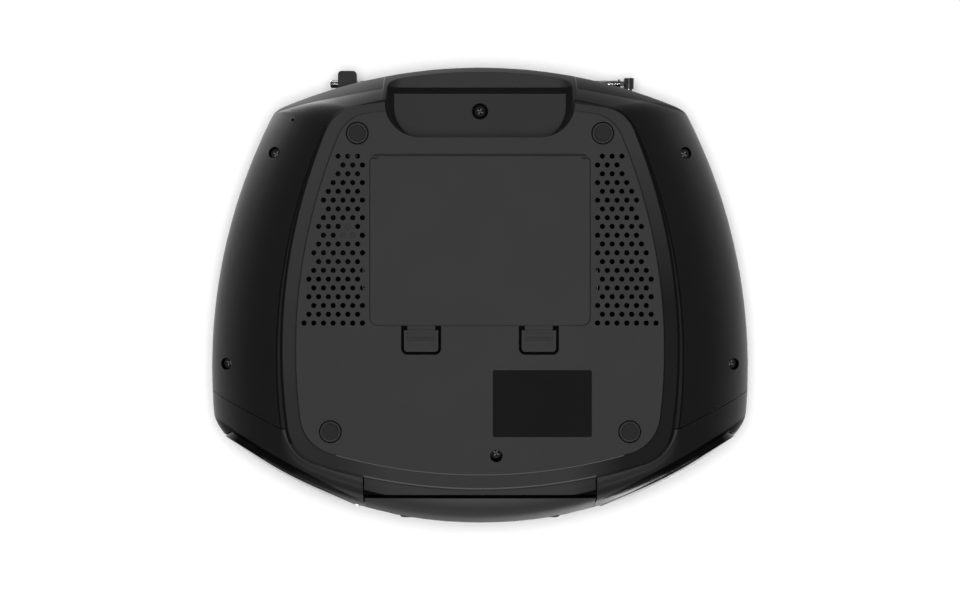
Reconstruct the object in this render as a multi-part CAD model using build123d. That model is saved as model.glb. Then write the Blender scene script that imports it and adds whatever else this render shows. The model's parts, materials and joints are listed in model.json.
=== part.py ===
from build123d import *
import math
import os

# Portable CD radio with two speakers, six C cells and a folding antenna.
# Millimetres, +Z up, the front looks along -Y, the origin is under the feet.

# Walls, seams and running clearances
wall = 2.5
seam = 0.4
play = 0.3
fit = 0.05

# Heights of the cabinet, from the table up
foot_height = 2.0
band_rise = 7.9
lip_rise = 28.0
wide_rise = 52.0
cabinet_height = 117.0
base_z = foot_height
low_z = base_z + band_rise
lip_z = low_z + lip_rise
wide_z = low_z + wide_rise
top_z = cabinet_height

# Cabinet in plan, at the underside, the widest level and the deck
half_width_low = 102.3
half_width_wide = 141.7
half_width_top = 106.0
rear_reach = 119.0
front_reach = 117.2
rear_low = 102.4
rear_top = 97.0
front_low = 102.8
front_top = 88.0
front_lean = 6.0
bowl_flatness = 1.6
rear_sweep = 3.0
lip_power = 2.5
shoulder_power = 2.4
side_radius = 290.0
rear_radius = 265.0
front_radius = 222.0

# Corners in plan, the widest place of the sides, and the shares of height where rear and brow turn in
rear_corner_low, rear_corner_wide, rear_corner_top = 20.0, 5.0, 14.0
front_corner_low, front_corner_wide, front_corner_top = 25.0, 8.0, 28.0
side_y_low, side_y_wide, side_y_top = -32.0, -38.0, -30.0
rear_turn, brow_turn, brow_power = 0.42, 0.4, 3.0

# Base plate, the flat pad that carries the feet
pad_half_width = 92.75
pad_middle_y = -27.75
pad_side_radius = 281.0
pad_rear_y = 95.0
pad_rear_radius = 400.0
pad_front_y = -90.75
pad_front_radius = 270.0
pad_corner = 18.0
pad_edge = 1.2
band_z = 4.9
band_slope = 0.5
band_edge = 1.4
band_spread = 7.9

# Seams between the cabinet shells
shell_seam_z = 64.0
deck_seam_z = 101.0
seam_side_x, seam_side_y = 170.0, -36.6
seam_pad_y = -68.1

# Lip under the control panel and the gap behind it
lip_half_width = 58.5
lip_end_half_width = 55.5
lip_gap_y = -101.3
lip_y = -102.8
lip_top_z = 30.5

# Finger pocket and the handle bar behind it
pocket_half_width = 48.1
pocket_front_y = 78.6
pocket_rear_y = 106.3
pocket_depth = 58.0
pocket_draft = 2.7
pocket_corner = 18.0
bar_lift = 26.0
arch_corner = 8.0

# Battery compartment for six C cells
cell_diameter = 26.2
cell_length = 50.0
cell_rows = 3
spring_room = 8.5
door_width = 110.0
door_depth = 85.4
door_y = 27.3
door_thickness = 2.0
door_gap = 0.4
door_corner = 4.0
door_relief = 1.2
latch_x = 29.5
latch_width = 17.2
latch_depth = 10.8
latch_slot_width = 20.0
latch_slot_depth = 14.4
latch_slot_corner = 3.0
latch_slot_gap = 1.4
latch_corner = 1.8
latch_room_height = 9.0

# Vent holes beside the battery door
vent_radius = 1.3
vent_pitch = 4.88
vent_row_pitch = 4.4
vent_rows = 20
vent_inner_x = 61.35
vent_first_y = 69.25
vent_margin = 3.9
vent_dimple = 0.3

# Feet, label and screws
foot_x_rear, foot_y_rear = 61.5, 80.8
foot_x_front, foot_y_front = 75.0, -68.8
foot_radius = 4.2
foot_ring_radius = 5.7
foot_ring_width = 0.6
foot_ring_depth = 0.8
foot_seat = 1.5
label_width = 49.6
label_depth = 33.5
label_x, label_y = -31.2, -54.7
label_thickness = 0.2
screw_head_radius = 2.7
screw_radius = 1.5
screw_recess_radius = 3.1
pocket_recess_radius = 4.3
screw_bite = 8.0
boss_wall = 1.9
side_screw_rear = (105.8, 72.9)
side_screw_front = (131.0, -35.7)
pocket_screw_y = 97.0
front_screw = (-8.2, -81.0)
drain_x, drain_y, drain_radius = 96.0, 89.5, 0.7

# Speakers
speaker_x, speaker_z = 96.5, 60.0
speaker_y = 27.1 - front_reach
speaker_yaw = 27.7
bezel_width = 80.0
bezel_height = 80.0
bezel_corner = 24.0
bezel_bulge = 6.9
bezel_level_radius = 200.0
bezel_upright_radius = 160.0
bezel_seat = 2.5
grille_radius = 33.0
grille_dome = 6.0
cone_radius = 28.5
driver_radius = 36.5
magnet_radius = 21.0

# Control panel on the front
panel_z = 64.5
panel_width = 104.0
panel_height = 59.0
panel_corner = 8.0
panel_proud = 0.3
panel_radius = 222.0
panel_depth = 12.0
display_width, display_height, display_up = 58.0, 17.0, 16.0
button_travel = 0.8
button_proud = 0.9

# Disc well, lid and drive
disc_radius = 60.0
well_clearance = 2.0
well_y = 8.0
well_depth = 15.0
tray_flange = 2.0
lid_radius = 71.0
lid_thickness = 2.5
lid_recess = 5.0
lid_dome = 3.0
window_radius = 49.0
window_thickness = 1.5
hinge_y = 84.0
hinge_radius = 3.0
hinge_arm_x = 26.0
hinge_arm_width = 12.0
sled_travel = 34.0
sled_width, sled_length = 26.0, 24.0
gear_radius = 8.0
gear_teeth = 30
pinion_radius = 2.4
pinion_teeth = 9

# Antenna
antenna_x, antenna_z = -80.0, 78.0
antenna_y = rear_reach - 5.7
antenna_radii = (2.0, 1.65, 1.3, 0.95)
antenna_wall = 0.3
antenna_length = 158.0
antenna_tip_radius = 2.2
antenna_pin_radius = 2.0
antenna_head = 3.0
antenna_tongue = 1.0
antenna_neck = 4.8
elbow_pin_radius = 0.8
rest_x = 71.0
rest_half = 5.0

# Deck controls
knob_place = (80.0, -52.0)
knob_radius = 13.0
knob_height = 11.0
knob_shaft_radius = 3.0
knob_grooves = 24
power_place = (-80.0, -52.0)
power_radius = 8.0

# Boards and supply
transformer_boss = (66.3, 31.2)
transformer_boss_radius = 3.5
transformer_floor = 11.0
transformer_far_x = 86.0
power_board_lift = 18.0

# Rear sockets
inlet_x, inlet_z = 45.0, 93.0
inlet_width, inlet_height = 22.0, 10.0
jack_x, jack_z = 18.0, 93.0
jack_radius = 1.8
jack_length = 14.0
jack_nose_radius = 3.5

well_radius = disc_radius + well_clearance
lid_floor_z = top_z - lid_recess
well_floor_z = lid_floor_z - well_depth
ledge_z = antenna_z - antenna_radii[0] - 1.2
ledge_y = antenna_y - 4.0
side_signs = (("right", 1), ("left", -1))

# Places of the disc drive under the well
chassis_gap = 3.0
chassis_thickness = 1.5
chassis_top = well_floor_z - wall - chassis_gap
chassis_z = chassis_top - chassis_thickness
rod_x = 17.0
rod_radius = 1.5
rod_z = chassis_z - 3.0
hub_radius = 15.0
sled_y = well_y - 24.0
sled_end_y = sled_y - sled_travel
spindle_radius = 10.8
spindle_height = 12.0
rack_x = sled_width / 2 + 7.0
gear_x = rack_x + 1.6 + gear_radius
gear_y = sled_y - 26.0
motor_x = gear_x + gear_radius + pinion_radius + 0.1
turret_half = 9.0
slot_half = turret_half + 2.0


def mix(start, end, share):
    return start + (end - start) * share


def block(x0, x1, y0, y1, z0, z1):
    middle = ((x0 + x1) / 2, (y0 + y1) / 2, (z0 + z1) / 2)
    return Pos(*middle) * Box(x1 - x0, y1 - y0, z1 - z0)


def post(x, y, radius, z0, z1):
    return Pos(x, y, (z0 + z1) / 2) * Cylinder(radius, z1 - z0)


def bar_x(x0, x1, y, z, radius):
    return Pos((x0 + x1) / 2, y, z) * Rot(0, 90, 0) * Cylinder(radius, x1 - x0)


def bar_y(x, y0, y1, z, radius):
    return Pos(x, (y0 + y1) / 2, z) * Rot(90, 0, 0) * Cylinder(radius, y1 - y0)


def rounded_plate(width, height, corner, z0, z1):
    return Pos(0, 0, z0) * extrude(RectangleRounded(width, height, corner), z1 - z0)


def together(shapes):
    joined = shapes[0]
    for shape in shapes[1:]:
        joined = joined + shape
    return joined


def group(shapes):
    return Compound(children=[solid for shape in shapes for solid in shape.solids()])


def save(shape, name):
    export_step(shape, os.path.join("parts", name + ".step"))


# An outline of four arcs: two bowed sides, a bowed rear and a bowed front
def arc_outline(half, middle_y, side_r, rear_y, rear_r, front_y, front_r, rear_corner, front_corner):
    def corner(centre_y, radius, sign):
        cx, cy = half - side_r, middle_y
        dx, dy = -cx, centre_y - cy
        gap = math.hypot(dx, dy)
        along = (side_r**2 - radius**2 + gap**2) / (2 * gap)
        across = math.sqrt(side_r**2 - along**2)
        foot_x, foot_y = cx + along * dx / gap, cy + along * dy / gap
        pair = [
            (foot_x + across * dy / gap, foot_y - across * dx / gap),
            (foot_x - across * dy / gap, foot_y + across * dx / gap),
        ]
        return max(pair, key=lambda p: (p[0] > 0, sign * p[1]))

    rear = corner(rear_y - rear_r, rear_r, 1)
    front = corner(front_y + front_r, front_r, -1)
    rear_left, front_left = (-rear[0], rear[1]), (-front[0], front[1])
    edges = [
        ThreePointArc(rear_left, (0, rear_y), rear),
        ThreePointArc(rear, (half, middle_y), front),
        ThreePointArc(front, (0, front_y), front_left),
        ThreePointArc(front_left, (-half, middle_y), rear_left),
    ]
    face = make_face(Wire(edges))
    face = fillet(face.vertices().sort_by(Axis.Y)[2:], rear_corner)
    return fillet([v for v in face.vertices() if v.Y < front[1] + 1e-3], front_corner)


def pad_outline(spread):
    return arc_outline(
        pad_half_width + spread,
        pad_middle_y,
        pad_side_radius + spread,
        pad_rear_y + spread * 0.6,
        pad_rear_radius,
        pad_front_y - spread,
        pad_front_radius,
        pad_corner,
        pad_corner + 3.0,
    )


# Share of the way out at a share of the way down: an arc that meets the underside at an angle
def bowl_share(down):
    start = math.sqrt(bowl_flatness**2 - 1)
    return (math.sqrt(bowl_flatness**2 - down**2) - start) / (bowl_flatness - start)


def rounded_share(along, power):
    return (1 - min(1.0, along) ** power) ** (1 / power)


# One level of the cabinet, moved in by inset: a bowl below, a rounded shoulder above
def cabinet_level(z, inset):
    low, top = low_z + inset, top_z - inset
    lip = inset - front_reach
    if z <= wide_z:
        down = min(1.0, (wide_z - z) / (wide_z - low))
        bowl = bowl_share(down)
        half = mix(half_width_low, half_width_wide - inset, bowl)
        rear = mix(rear_low, rear_reach - inset, 1 - down**rear_sweep)
        rear_corner = mix(rear_corner_low, rear_corner_wide, bowl)
        front_corner = mix(front_corner_low, front_corner_wide, bowl)
        middle = mix(side_y_low, side_y_wide, bowl)
    else:
        up = min(1.0, (z - wide_z) / (top - wide_z))
        shoulder = rounded_share(up, shoulder_power)
        half = mix(half_width_top, half_width_wide - inset, shoulder)
        late = max(0.0, (up - rear_turn) / (1 - rear_turn))
        rear = mix(rear_top, rear_reach - inset, rounded_share(late, shoulder_power))
        rear_corner = mix(rear_corner_top, rear_corner_wide, shoulder)
        front_corner = mix(front_corner_top, front_corner_wide, shoulder)
        middle = mix(side_y_top, side_y_wide, shoulder)
    if z <= lip_z:
        front = mix(-front_low, lip, rounded_share((lip_z - z) / (lip_z - low), lip_power))
    else:
        slope = math.tan(math.radians(front_lean))
        late = max(0.0, (z - lip_z) / (top - lip_z) - brow_turn) / (1 - brow_turn)
        brow = 1 - rounded_share(late, brow_power)
        front = lip + (z - lip_z) * slope
        front += (-front_top - (lip + (top - lip_z) * slope)) * brow
    face = arc_outline(
        half, middle, side_radius, rear, rear_radius, front, front_radius, rear_corner, front_corner
    )
    return Pos(0, 0, z) * face


def cabinet_loft(inset):
    low, top = low_z + inset, top_z - inset
    below = [mix(wide_z, low, share) for share in (1.0, 0.96, 0.88, 0.72, 0.5, 0.25)]
    above = [mix(wide_z, top, share) for share in (0.0, 0.28, 0.52, 0.72, 0.87, 0.96, 1.0)]
    return loft([cabinet_level(z, inset) for z in below + above])


# The plateau that carries the feet, and the band round it one step higher
def stepped_pad(levels):
    return loft([Pos(0, 0, z) * pad_outline(spread) for z, spread in levels], ruled=True)


def outer_block():
    rim_z = band_z + band_slope
    levels = [
        (base_z, -pad_edge / 2),
        (base_z + pad_edge / 2, 0),
        (band_z, 0),
        (rim_z, band_spread - band_edge),
        (rim_z + band_edge, band_spread),
        (low_z + 1, band_spread),
    ]
    return cabinet_loft(0) + stepped_pad(levels)


def inner_block():
    floor, band_floor = base_z + wall, band_z + wall
    levels = [
        (floor, -wall),
        (band_floor, -wall),
        (band_floor + band_slope, band_spread - wall),
        (low_z + wall + play, band_spread - wall),
    ]
    return cabinet_loft(wall) + stepped_pad(levels)


# Frames of the speakers and of the leaning panel: x along the front, y up it, z out of it
def speaker_frame(sign):
    yaw = math.radians(speaker_yaw) * sign
    out = (math.sin(yaw), -math.cos(yaw), 0)
    origin = (sign * speaker_x, speaker_y, speaker_z)
    return Plane(origin=origin, x_dir=(math.cos(yaw), math.sin(yaw), 0), z_dir=out).location


def panel_frame():
    lean = math.radians(front_lean)
    origin = (0, (panel_z - lip_z) * math.tan(lean) - front_reach, panel_z)
    out = (0, -math.cos(lean), math.sin(lean))
    return Plane(origin=origin, x_dir=(1, 0, 0), z_dir=out).location


# Hollows of the cabinet; grow is the wall left round each of them
def finger_pocket(grow):
    length = pocket_rear_y - pocket_front_y + 2 * grow
    middle = (pocket_rear_y + pocket_front_y) / 2
    top = base_z + pocket_depth + grow

    def mouth(z, draft):
        width = 2 * (pocket_half_width - draft + grow)
        face = Rectangle(width, length - draft)
        face = fillet(face.vertices().group_by(Axis.Y)[0], pocket_corner)
        return Pos(0, middle + draft / 2, z) * face

    well = loft([mouth(-grow, 0), mouth(top, pocket_draft)])
    arch_top = base_z + bar_lift + grow
    arch = Rectangle(2 * (pocket_half_width - 1 + grow), 2 * arch_top)
    arch = extrude(Rot(90, 0, 0) * fillet(arch.vertices(), arch_corner), rear_reach, both=True)
    arch = arch & block(-200, 200, middle, 200, -1, arch_top + 1)
    return well + arch


def antenna_ledge(grow):
    return block(-200, 200, ledge_y - grow, 200, ledge_z - grow, 200)


def lid_outline(grow):
    arms = Rectangle(2 * hinge_arm_x + hinge_arm_width + 2 * grow, hinge_y - well_y + hinge_radius + grow)
    reach = (hinge_y + hinge_radius + grow - well_y) / 2
    return Circle(lid_radius + grow) + Pos(0, reach) * arms


def disc_well(grow):
    seat = Pos(0, well_y, lid_floor_z - grow) * extrude(lid_outline(play + grow), 60)
    well = post(0, well_y, well_radius + grow, well_floor_z - grow, top_z + 60)
    notch = Pos(0, well_y - lid_radius - 1, top_z + 9 - grow) * Sphere(13)
    return seat + well + notch


def speaker_hollow(sign, grow):
    width = bezel_width + 2 * grow
    flat = block(-width / 2, width / 2, -120, bezel_height / 2 + play + grow, -grow, 60)
    outline = (bezel_width - 2 * play, bezel_height - 2 * play, bezel_corner)
    seat = rounded_plate(
        outline[0] + 2 * grow + 2 * play, outline[1] + 2 * grow + 2 * play, outline[2] + grow,
        -bezel_seat - grow, 60,
    )
    return speaker_frame(sign) * (flat + seat)


def panel_hollow(grow):
    size = (panel_width + 2 * play + 2 * grow, panel_height + 2 * play + 2 * grow)
    return panel_frame() * rounded_plate(*size, panel_corner + grow, -panel_depth - grow, 60)


def hollows(grow):
    shapes = [finger_pocket(grow), antenna_ledge(grow), disc_well(grow), panel_hollow(grow)]
    return shapes + [speaker_hollow(sign, grow) for _, sign in side_signs]


# The space in front of the side seams, without the base; gap is the seam left round the base
def front_zone(grow, gap):
    points = [
        (-seam_side_x, seam_side_y),
        (-pad_half_width - band_spread, seam_pad_y),
        (pad_half_width + band_spread, seam_pad_y),
        (seam_side_x, seam_side_y),
        (seam_side_x, -seam_side_x),
        (-seam_side_x, -seam_side_x),
    ]
    face = make_face(Polyline(*points, close=True))
    prism = Pos(0, grow, base_z - 1) * extrude(face, deck_seam_z - base_z + 1 + grow)
    high = low_z + wall + play
    base = Pos(0, 0, base_z - 2) * extrude(pad_outline(band_spread + gap), high + 2 - base_z)
    half = lip_half_width + gap
    strip = block(-half, half, lip_gap_y - gap, pad_front_y, base_z - 2, high)
    return prism - base - strip


# The lip under the control panel, with slanted ends
def lip_zone(grow):
    half, end_half = lip_half_width + grow, lip_end_half_width + grow
    points = [(-half, lip_gap_y if grow else lip_y), (half, lip_gap_y if grow else lip_y)]
    points += [(end_half, -front_reach - 9), (-end_half, -front_reach - 9)]
    return Pos(0, 0, base_z) * extrude(make_face(Polyline(*points, close=True)), lip_top_z - base_z)


# The cup under the lid, with a flange that rests in the recess floor
def tray_zone(grow):
    cup_radius = well_radius + wall + grow
    cup = post(0, well_y, cup_radius, well_floor_z - wall - 1, lid_floor_z + 1)
    return cup + post(0, well_y, cup_radius + tray_flange, lid_floor_z - wall / 2, lid_floor_z + 1)


# Compartment sizes
def cell_room():
    half = cell_length + spring_room / 2
    depth = cell_rows * cell_diameter + 2.4
    return block(
        -half, half, door_y - depth / 2, door_y + depth / 2,
        base_z + door_thickness + play, base_z + door_thickness + play + cell_diameter + 1.0,
    )


def cell_walls():
    room = cell_room().bounding_box()
    outer = block(
        room.min.X - 2, room.max.X + 2, room.min.Y - 2, room.max.Y + 2, room.min.Z, room.max.Z + 2
    )
    ribs = [
        block(room.min.X, room.max.X, y - 0.8, y + 0.8, room.max.Z - 6, room.max.Z)
        for y in (door_y - cell_diameter / 2, door_y + cell_diameter / 2)
    ]
    return together([outer - cell_room()] + ribs)


def vent_places():
    places = []
    for row in range(vent_rows):
        y = vent_first_y - row * vent_row_pitch
        x = vent_inner_x - (row % 2) * vent_pitch / 2
        reach = pad_side_radius - math.sqrt(pad_side_radius**2 - (y - pad_middle_y) ** 2)
        while x + vent_margin < pad_half_width - reach:
            places.append((x, y))
            x += vent_pitch
    return places


def closed_vent(x, y):
    return math.hypot(x - transformer_boss[0], y - transformer_boss[1]) < transformer_boss_radius


def vents():
    open_places, closed_places = [], []
    for x, y in vent_places():
        open_places.append((-x, y))
        (closed_places if closed_vent(x, y) else open_places).append((x, y))
    holes = Sketch() + [Pos(*place) * Circle(vent_radius) for place in open_places]
    dimples = Sketch() + [Pos(*place) * Circle(vent_radius) for place in closed_places]
    below = Pos(0, 0, base_z - 1)
    return below * extrude(holes, base_z + wall + 1) + below * extrude(dimples, 1 + vent_dimple)


# Screws: place, height of the seat that the head pulls on, radius of the recess
def screw_places():
    places = []
    for _, sign in side_signs:
        places.append((sign * side_screw_rear[0], side_screw_rear[1], low_z + 34, screw_recess_radius))
        places.append((sign * side_screw_front[0], side_screw_front[1], low_z + 42, screw_recess_radius))
    places.append((0, pocket_screw_y, base_z + pocket_depth + 4, pocket_recess_radius))
    places.append((front_screw[0], front_screw[1], base_z + 26, screw_recess_radius))
    return places


def bottom_cabinet(shell, outer):
    body = shell - front_zone(seam, 0) - block(-200, 200, -200, 200, shell_seam_z - seam / 2, 200)
    bosses = [post(x, y, recess + boss_wall, base_z - 1, seat) for x, y, seat, recess in screw_places()]
    bosses.append(post(*transformer_boss, transformer_boss_radius, base_z, base_z + transformer_floor))
    pocket = finger_pocket(0)
    latch_boxes = [latch_room(sign, 2.0) for _, sign in side_signs]
    bosses += supply_posts() + board_posts()
    extras = together([(boss & outer) - pocket for boss in bosses] + [cell_walls()] + latch_boxes)
    body = body + (extras & outer)
    cuts = [cell_room(), door_opening(), vents(), door_sockets()]
    cuts += [latch_room(sign, 0) + latch_arm(sign, play) for _, sign in side_signs]
    for x, y, seat, recess in screw_places():
        cuts.append(post(x, y, recess, -5, seat - 2))
        cuts.append(post(x, y, screw_radius + 0.2, -5, seat + 5))
    for x, y in foot_places():
        ring = post(x, y, foot_ring_radius, base_z - 1, base_z + foot_ring_depth)
        ring = ring - post(x, y, foot_ring_radius - foot_ring_width, base_z - 2, base_z + 2)
        cuts.append(ring + post(x, y, foot_radius, base_z - 1, base_z + foot_seat))
    cuts.append(post(drain_x, drain_y, drain_radius, 0, shell_seam_z / 2))
    for cut in cuts:
        body = body - cut
    return body


def door_opening():
    size = (door_width + 2 * door_gap, door_depth + 2 * door_gap)
    plate = rounded_plate(*size, door_corner + door_gap, 0, base_z + door_thickness + play)
    return Pos(0, door_y, 0) * plate


def latch_front_y():
    return door_y - door_depth / 2 - door_gap


def latch_room(sign, grow):
    length = latch_slot_depth + 2 * grow
    face = Rectangle(latch_slot_width + 2 * grow, length)
    face = fillet(face.vertices().group_by(Axis.Y)[0], latch_slot_corner)
    middle_y = latch_front_y() - latch_slot_depth / 2
    floor = base_z + door_thickness + latch_room_height + grow
    return Pos(sign * latch_x, middle_y, base_z - 1 + grow) * extrude(face, floor - base_z + 1 - grow)


def foot_places():
    pairs = ((foot_x_rear, foot_y_rear), (foot_x_front, foot_y_front))
    return [(sign * x, y) for _, sign in side_signs for x, y in pairs]


def feet():
    return group([post(x, y, foot_radius, 0, base_z + foot_seat) for x, y in foot_places()])


def battery_door():
    low, high = base_z, base_z + door_thickness
    plate = Pos(0, door_y, 0) * rounded_plate(door_width, door_depth, door_corner, low, high)
    rear = door_y + door_depth / 2
    round_radius = door_thickness / 2
    axis_y, axis_z = door_axis()
    half = door_width / 2 - door_corner
    plate = plate - block(-half, half, axis_y, rear + 1, low - 1, high + 1)
    for x in (-door_width / 2, half):
        plate = plate - block(x, x + door_corner, axis_y - door_relief, rear + 1, low - 1, high + 1)
    pin = door_thickness * 0.4
    shapes = [plate, bar_x(-half, half, axis_y, axis_z, round_radius)]
    shapes.append(bar_x(-door_width / 2 - 2, door_width / 2 + 2, axis_y, axis_z, pin))
    for _, sign in side_signs:
        shapes.append(latch_arm(sign, 0))
    return together(shapes)


# The hinge line of the battery door lies along X, inside its rear edge
def door_axis():
    return door_y + door_depth / 2 - door_thickness / 2, base_z + door_thickness / 2


def door_sockets():
    axis_y, axis_z = door_axis()
    reach = door_width / 2 + 2 + play
    return bar_x(-reach, reach, axis_y, axis_z, door_thickness * 0.4 + fit)


# The arm of the door that carries one latch tongue
def latch_arm(sign, grow):
    half = 7 + grow
    y = latch_front_y()
    low = base_z + door_thickness
    back = y + door_gap + 4 + 2 * grow
    return block(sign * latch_x - half, sign * latch_x + half, y - 10 - grow, back, low, low + 1.4 + grow)


def battery_latch(sign):
    y = latch_front_y() - latch_slot_depth + latch_slot_gap
    low, high = base_z, base_z + door_thickness - fit
    face = Rectangle(latch_width, latch_depth)
    face = fillet(face.vertices().group_by(Axis.Y)[0], latch_corner)
    tongue = Pos(sign * latch_x, y + latch_depth / 2, low) * extrude(face, high - low)
    scoop_y = y + latch_depth - 3.2
    scoop = block(sign * latch_x - 6.8, sign * latch_x + 6.8, scoop_y - 2, scoop_y + 2, low - 1, low + 0.7)
    return tongue - scoop


def battery_contacts():
    room = cell_room().bounding_box()
    middle_z = room.max.Z - cell_diameter / 2 - 0.5
    shapes = []
    for row in range(cell_rows):
        y = door_y + (row - (cell_rows - 1) / 2) * cell_diameter
        for sign in (1, -1):
            face = sign * (room.max.X - 0.25)
            plate = block(face - 0.25, face + 0.25, y - 6, y + 6, middle_z - 7, middle_z + 7)
            spring_side = sign * (-1) ** row > 0
            if spring_side:
                cone = Pos(face - sign * 3.25, y, middle_z) * Rot(0, -90 * sign, 0) * Cone(5, 2.5, 6)
                plate = plate + cone
            shapes.append(plate)
    return group(shapes)


def front_cabinet(shell, outer):
    body = (shell & front_zone(0, seam)) - lip_zone(seam)
    x, y, seat, _ = screw_places()[-1]
    lug = block(x - 6, x + 6, panel_back_y() - wall, y + 6, seat, seat + 6)
    lug = lug - post(x, y, screw_radius + fit, seat - 1, seat + 9)
    body = body + (lug & outer)
    for _, sign in side_signs:
        hole = post(0, 0, driver_radius - 6, -bezel_seat - wall - 1, 10)
        body = body - speaker_frame(sign) * hole
    return body


def front_lip(shell):
    return shell & lip_zone(0)


def panel_back_y():
    return panel_depth + wall - front_reach


def top_cabinet(shell, outer):
    body = shell - front_zone(seam, 0) - tray_zone(fit)
    body = body - block(-200, 200, -200, 200, -10, shell_seam_z + seam / 2)
    bosses = [
        post(x, y, screw_radius + boss_wall, max(seat, shell_seam_z + seam), top_z + 5)
        for x, y, seat, _ in screw_places()[:-1]
    ]
    bosses.append(bar_y(antenna_x, antenna_y - 20, antenna_y, antenna_z, 5))
    inner_gap = together([disc_well(0), antenna_ledge(0)])
    extras = (together(bosses) & outer) - inner_gap
    body = body + extras
    cuts = [hinge_sockets(), antenna_socket(), antenna_rest_block()]
    for x, y, seat, _ in screw_places()[:-1]:
        cuts.append(post(x, y, screw_radius + fit, seat - 20, seat + screw_bite + 0.5))
    cuts.append(post(knob_place[0], knob_place[1], knob_shaft_radius + play, top_z - 10, top_z + 5))
    cuts.append(post(power_place[0], power_place[1], power_radius + play, top_z - 10, top_z + 5))
    cuts.append(inlet_shape(play / 3, ledge_y - wall - 1, ledge_y + 5))
    cuts.append(bar_y(jack_x, ledge_y - wall - 1, ledge_y + 5, jack_z, jack_nose_radius + fit))
    for cut in cuts:
        body = body - cut
    return body


def disc_tray(shell):
    return (shell & tray_zone(0)) - drive_opening()


def cabinet_screws():
    shapes = []
    for x, y, seat, _ in screw_places():
        head = post(x, y, screw_head_radius, seat - 2 - 1.8, seat - 2)
        slots = block(x - 1.7, x + 1.7, y - 0.3, y + 0.3, seat - 4.2, seat - 3)
        slots = slots + block(x - 0.3, x + 0.3, y - 1.7, y + 1.7, seat - 4.2, seat - 3)
        shapes.append(head + post(x, y, screw_radius, seat - 2, seat + screw_bite) - slots)
    return group(shapes)


# Disc drive under the well
def drive_opening():
    slot = block(
        -slot_half, slot_half, sled_end_y - turret_half - 2, well_y,
        well_floor_z - wall - 1, well_floor_z + 1,
    )
    return slot + post(0, well_y, hub_radius + 2, well_floor_z - wall - 1, well_floor_z + 1)


def damper_places():
    return [(x, y) for x in (-24, 24) for y in (well_y - 54, well_y + 20)]


def mech_chassis():
    front, rear = sled_end_y - sled_length / 2 - 7, well_y + 28
    plate = block(-32, motor_x + 12, front, rear, chassis_z, chassis_top)
    plate = plate - block(-slot_half, slot_half, sled_end_y - turret_half - 2, sled_y + turret_half + 2,
                          chassis_z - 1, chassis_top + 1)
    plate = plate - post(0, well_y, 3, chassis_z - 1, chassis_top + 1)
    low = rod_z - rod_radius - 1.5
    shapes = [plate]
    for x in (-rod_x, rod_x):
        for y0, y1 in rod_lugs():
            shapes.append(block(x - 2.6, x + 2.6, y0, y1, low, chassis_z))
    shapes.append(post(gear_x, gear_y, rod_radius, low, chassis_z))
    for y in (gear_y - 11, gear_y + 11):
        shapes.append(post(motor_x, y, 1.8, low - 0.5, chassis_z))
    shapes.append(block(motor_x - 10, motor_x + 10, gear_y - 13, gear_y + 13, low - 2, low - 0.5))
    body = together(shapes)
    body = body - post(motor_x, gear_y, 1.5, low - 3, low)
    for x in (-rod_x, rod_x):
        y0, y1 = rod_lugs()[0][0] + 1, rod_lugs()[1][1] - 1
        body = body - bar_y(x, y0, y1, rod_z, rod_radius)
    return body


def rod_lugs():
    near, far = sled_y + sled_length / 2, sled_end_y - sled_length / 2
    return ((far - 5, far - 1), (near + 1, near + 5))


def guide_rods():
    y0, y1 = rod_lugs()[0][0] + 1, rod_lugs()[1][1] - 1
    return group([bar_y(x, y0, y1, rod_z, rod_radius) for x in (-rod_x, rod_x)])


def spindle_motor():
    can = post(0, well_y, spindle_radius, chassis_z - spindle_height, chassis_z)
    return can - post(0, well_y, 1 + fit, chassis_z - 8, chassis_z + 1)


def turntable():
    low = well_floor_z + 1.5
    shaft = post(0, well_y, 1.0, chassis_z - 7.5, low)
    plate = post(0, well_y, hub_radius, low, low + 2)
    hub = post(0, well_y, 7.2, low + 2, low + 5.5)
    ball = Pos(6.3, 0, low + 3.8) * Sphere(1.5)
    balls = [Pos(0, well_y, 0) * Rot(0, 0, 120 * step) * ball for step in range(3)]
    return together([shaft, plate, hub] + balls)


def laser_sled():
    low, high = rod_z - rod_radius - 1.5, chassis_z - 0.5
    half = rod_x + 3
    y0, y1 = sled_y - sled_length / 2, sled_y + sled_length / 2
    body = block(-half, half, y0, y1, low, high)
    turret = block(
        -turret_half, turret_half, sled_y - turret_half, sled_y + turret_half, high, well_floor_z - 2.5
    )
    rack = block(half, rack_x + 0.6, y0 - 20, y1, low, low + 3)
    joined = body + turret + rack
    for tooth in range(rack_teeth()):
        y = y1 - 0.5 - (tooth + 0.5) * tooth_pitch()
        points = ((rack_x + 0.5, y - 0.6), (rack_x + 1.5, y), (rack_x + 0.5, y + 0.6))
        face = make_face(Polyline(*points, close=True))
        joined = joined + Pos(0, 0, low) * extrude(face, 3)
    for x in (-rod_x, rod_x):
        joined = joined - bar_y(x, y0 - 1, y1 + 1, rod_z, rod_radius + fit)
    return joined - post(0, sled_y, 3.2, well_floor_z - 4, well_floor_z)


def tooth_pitch():
    return 2 * math.pi * gear_radius / gear_teeth


def rack_teeth():
    return int((sled_length + 19) / tooth_pitch())


def laser_lens():
    holder = post(0, sled_y, 3.2 - fit, well_floor_z - 4, well_floor_z - 2)
    return holder + Pos(0, sled_y, well_floor_z - 2) * (Sphere(2.2) & block(-3, 3, -3, 3, 0, 3))


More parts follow.
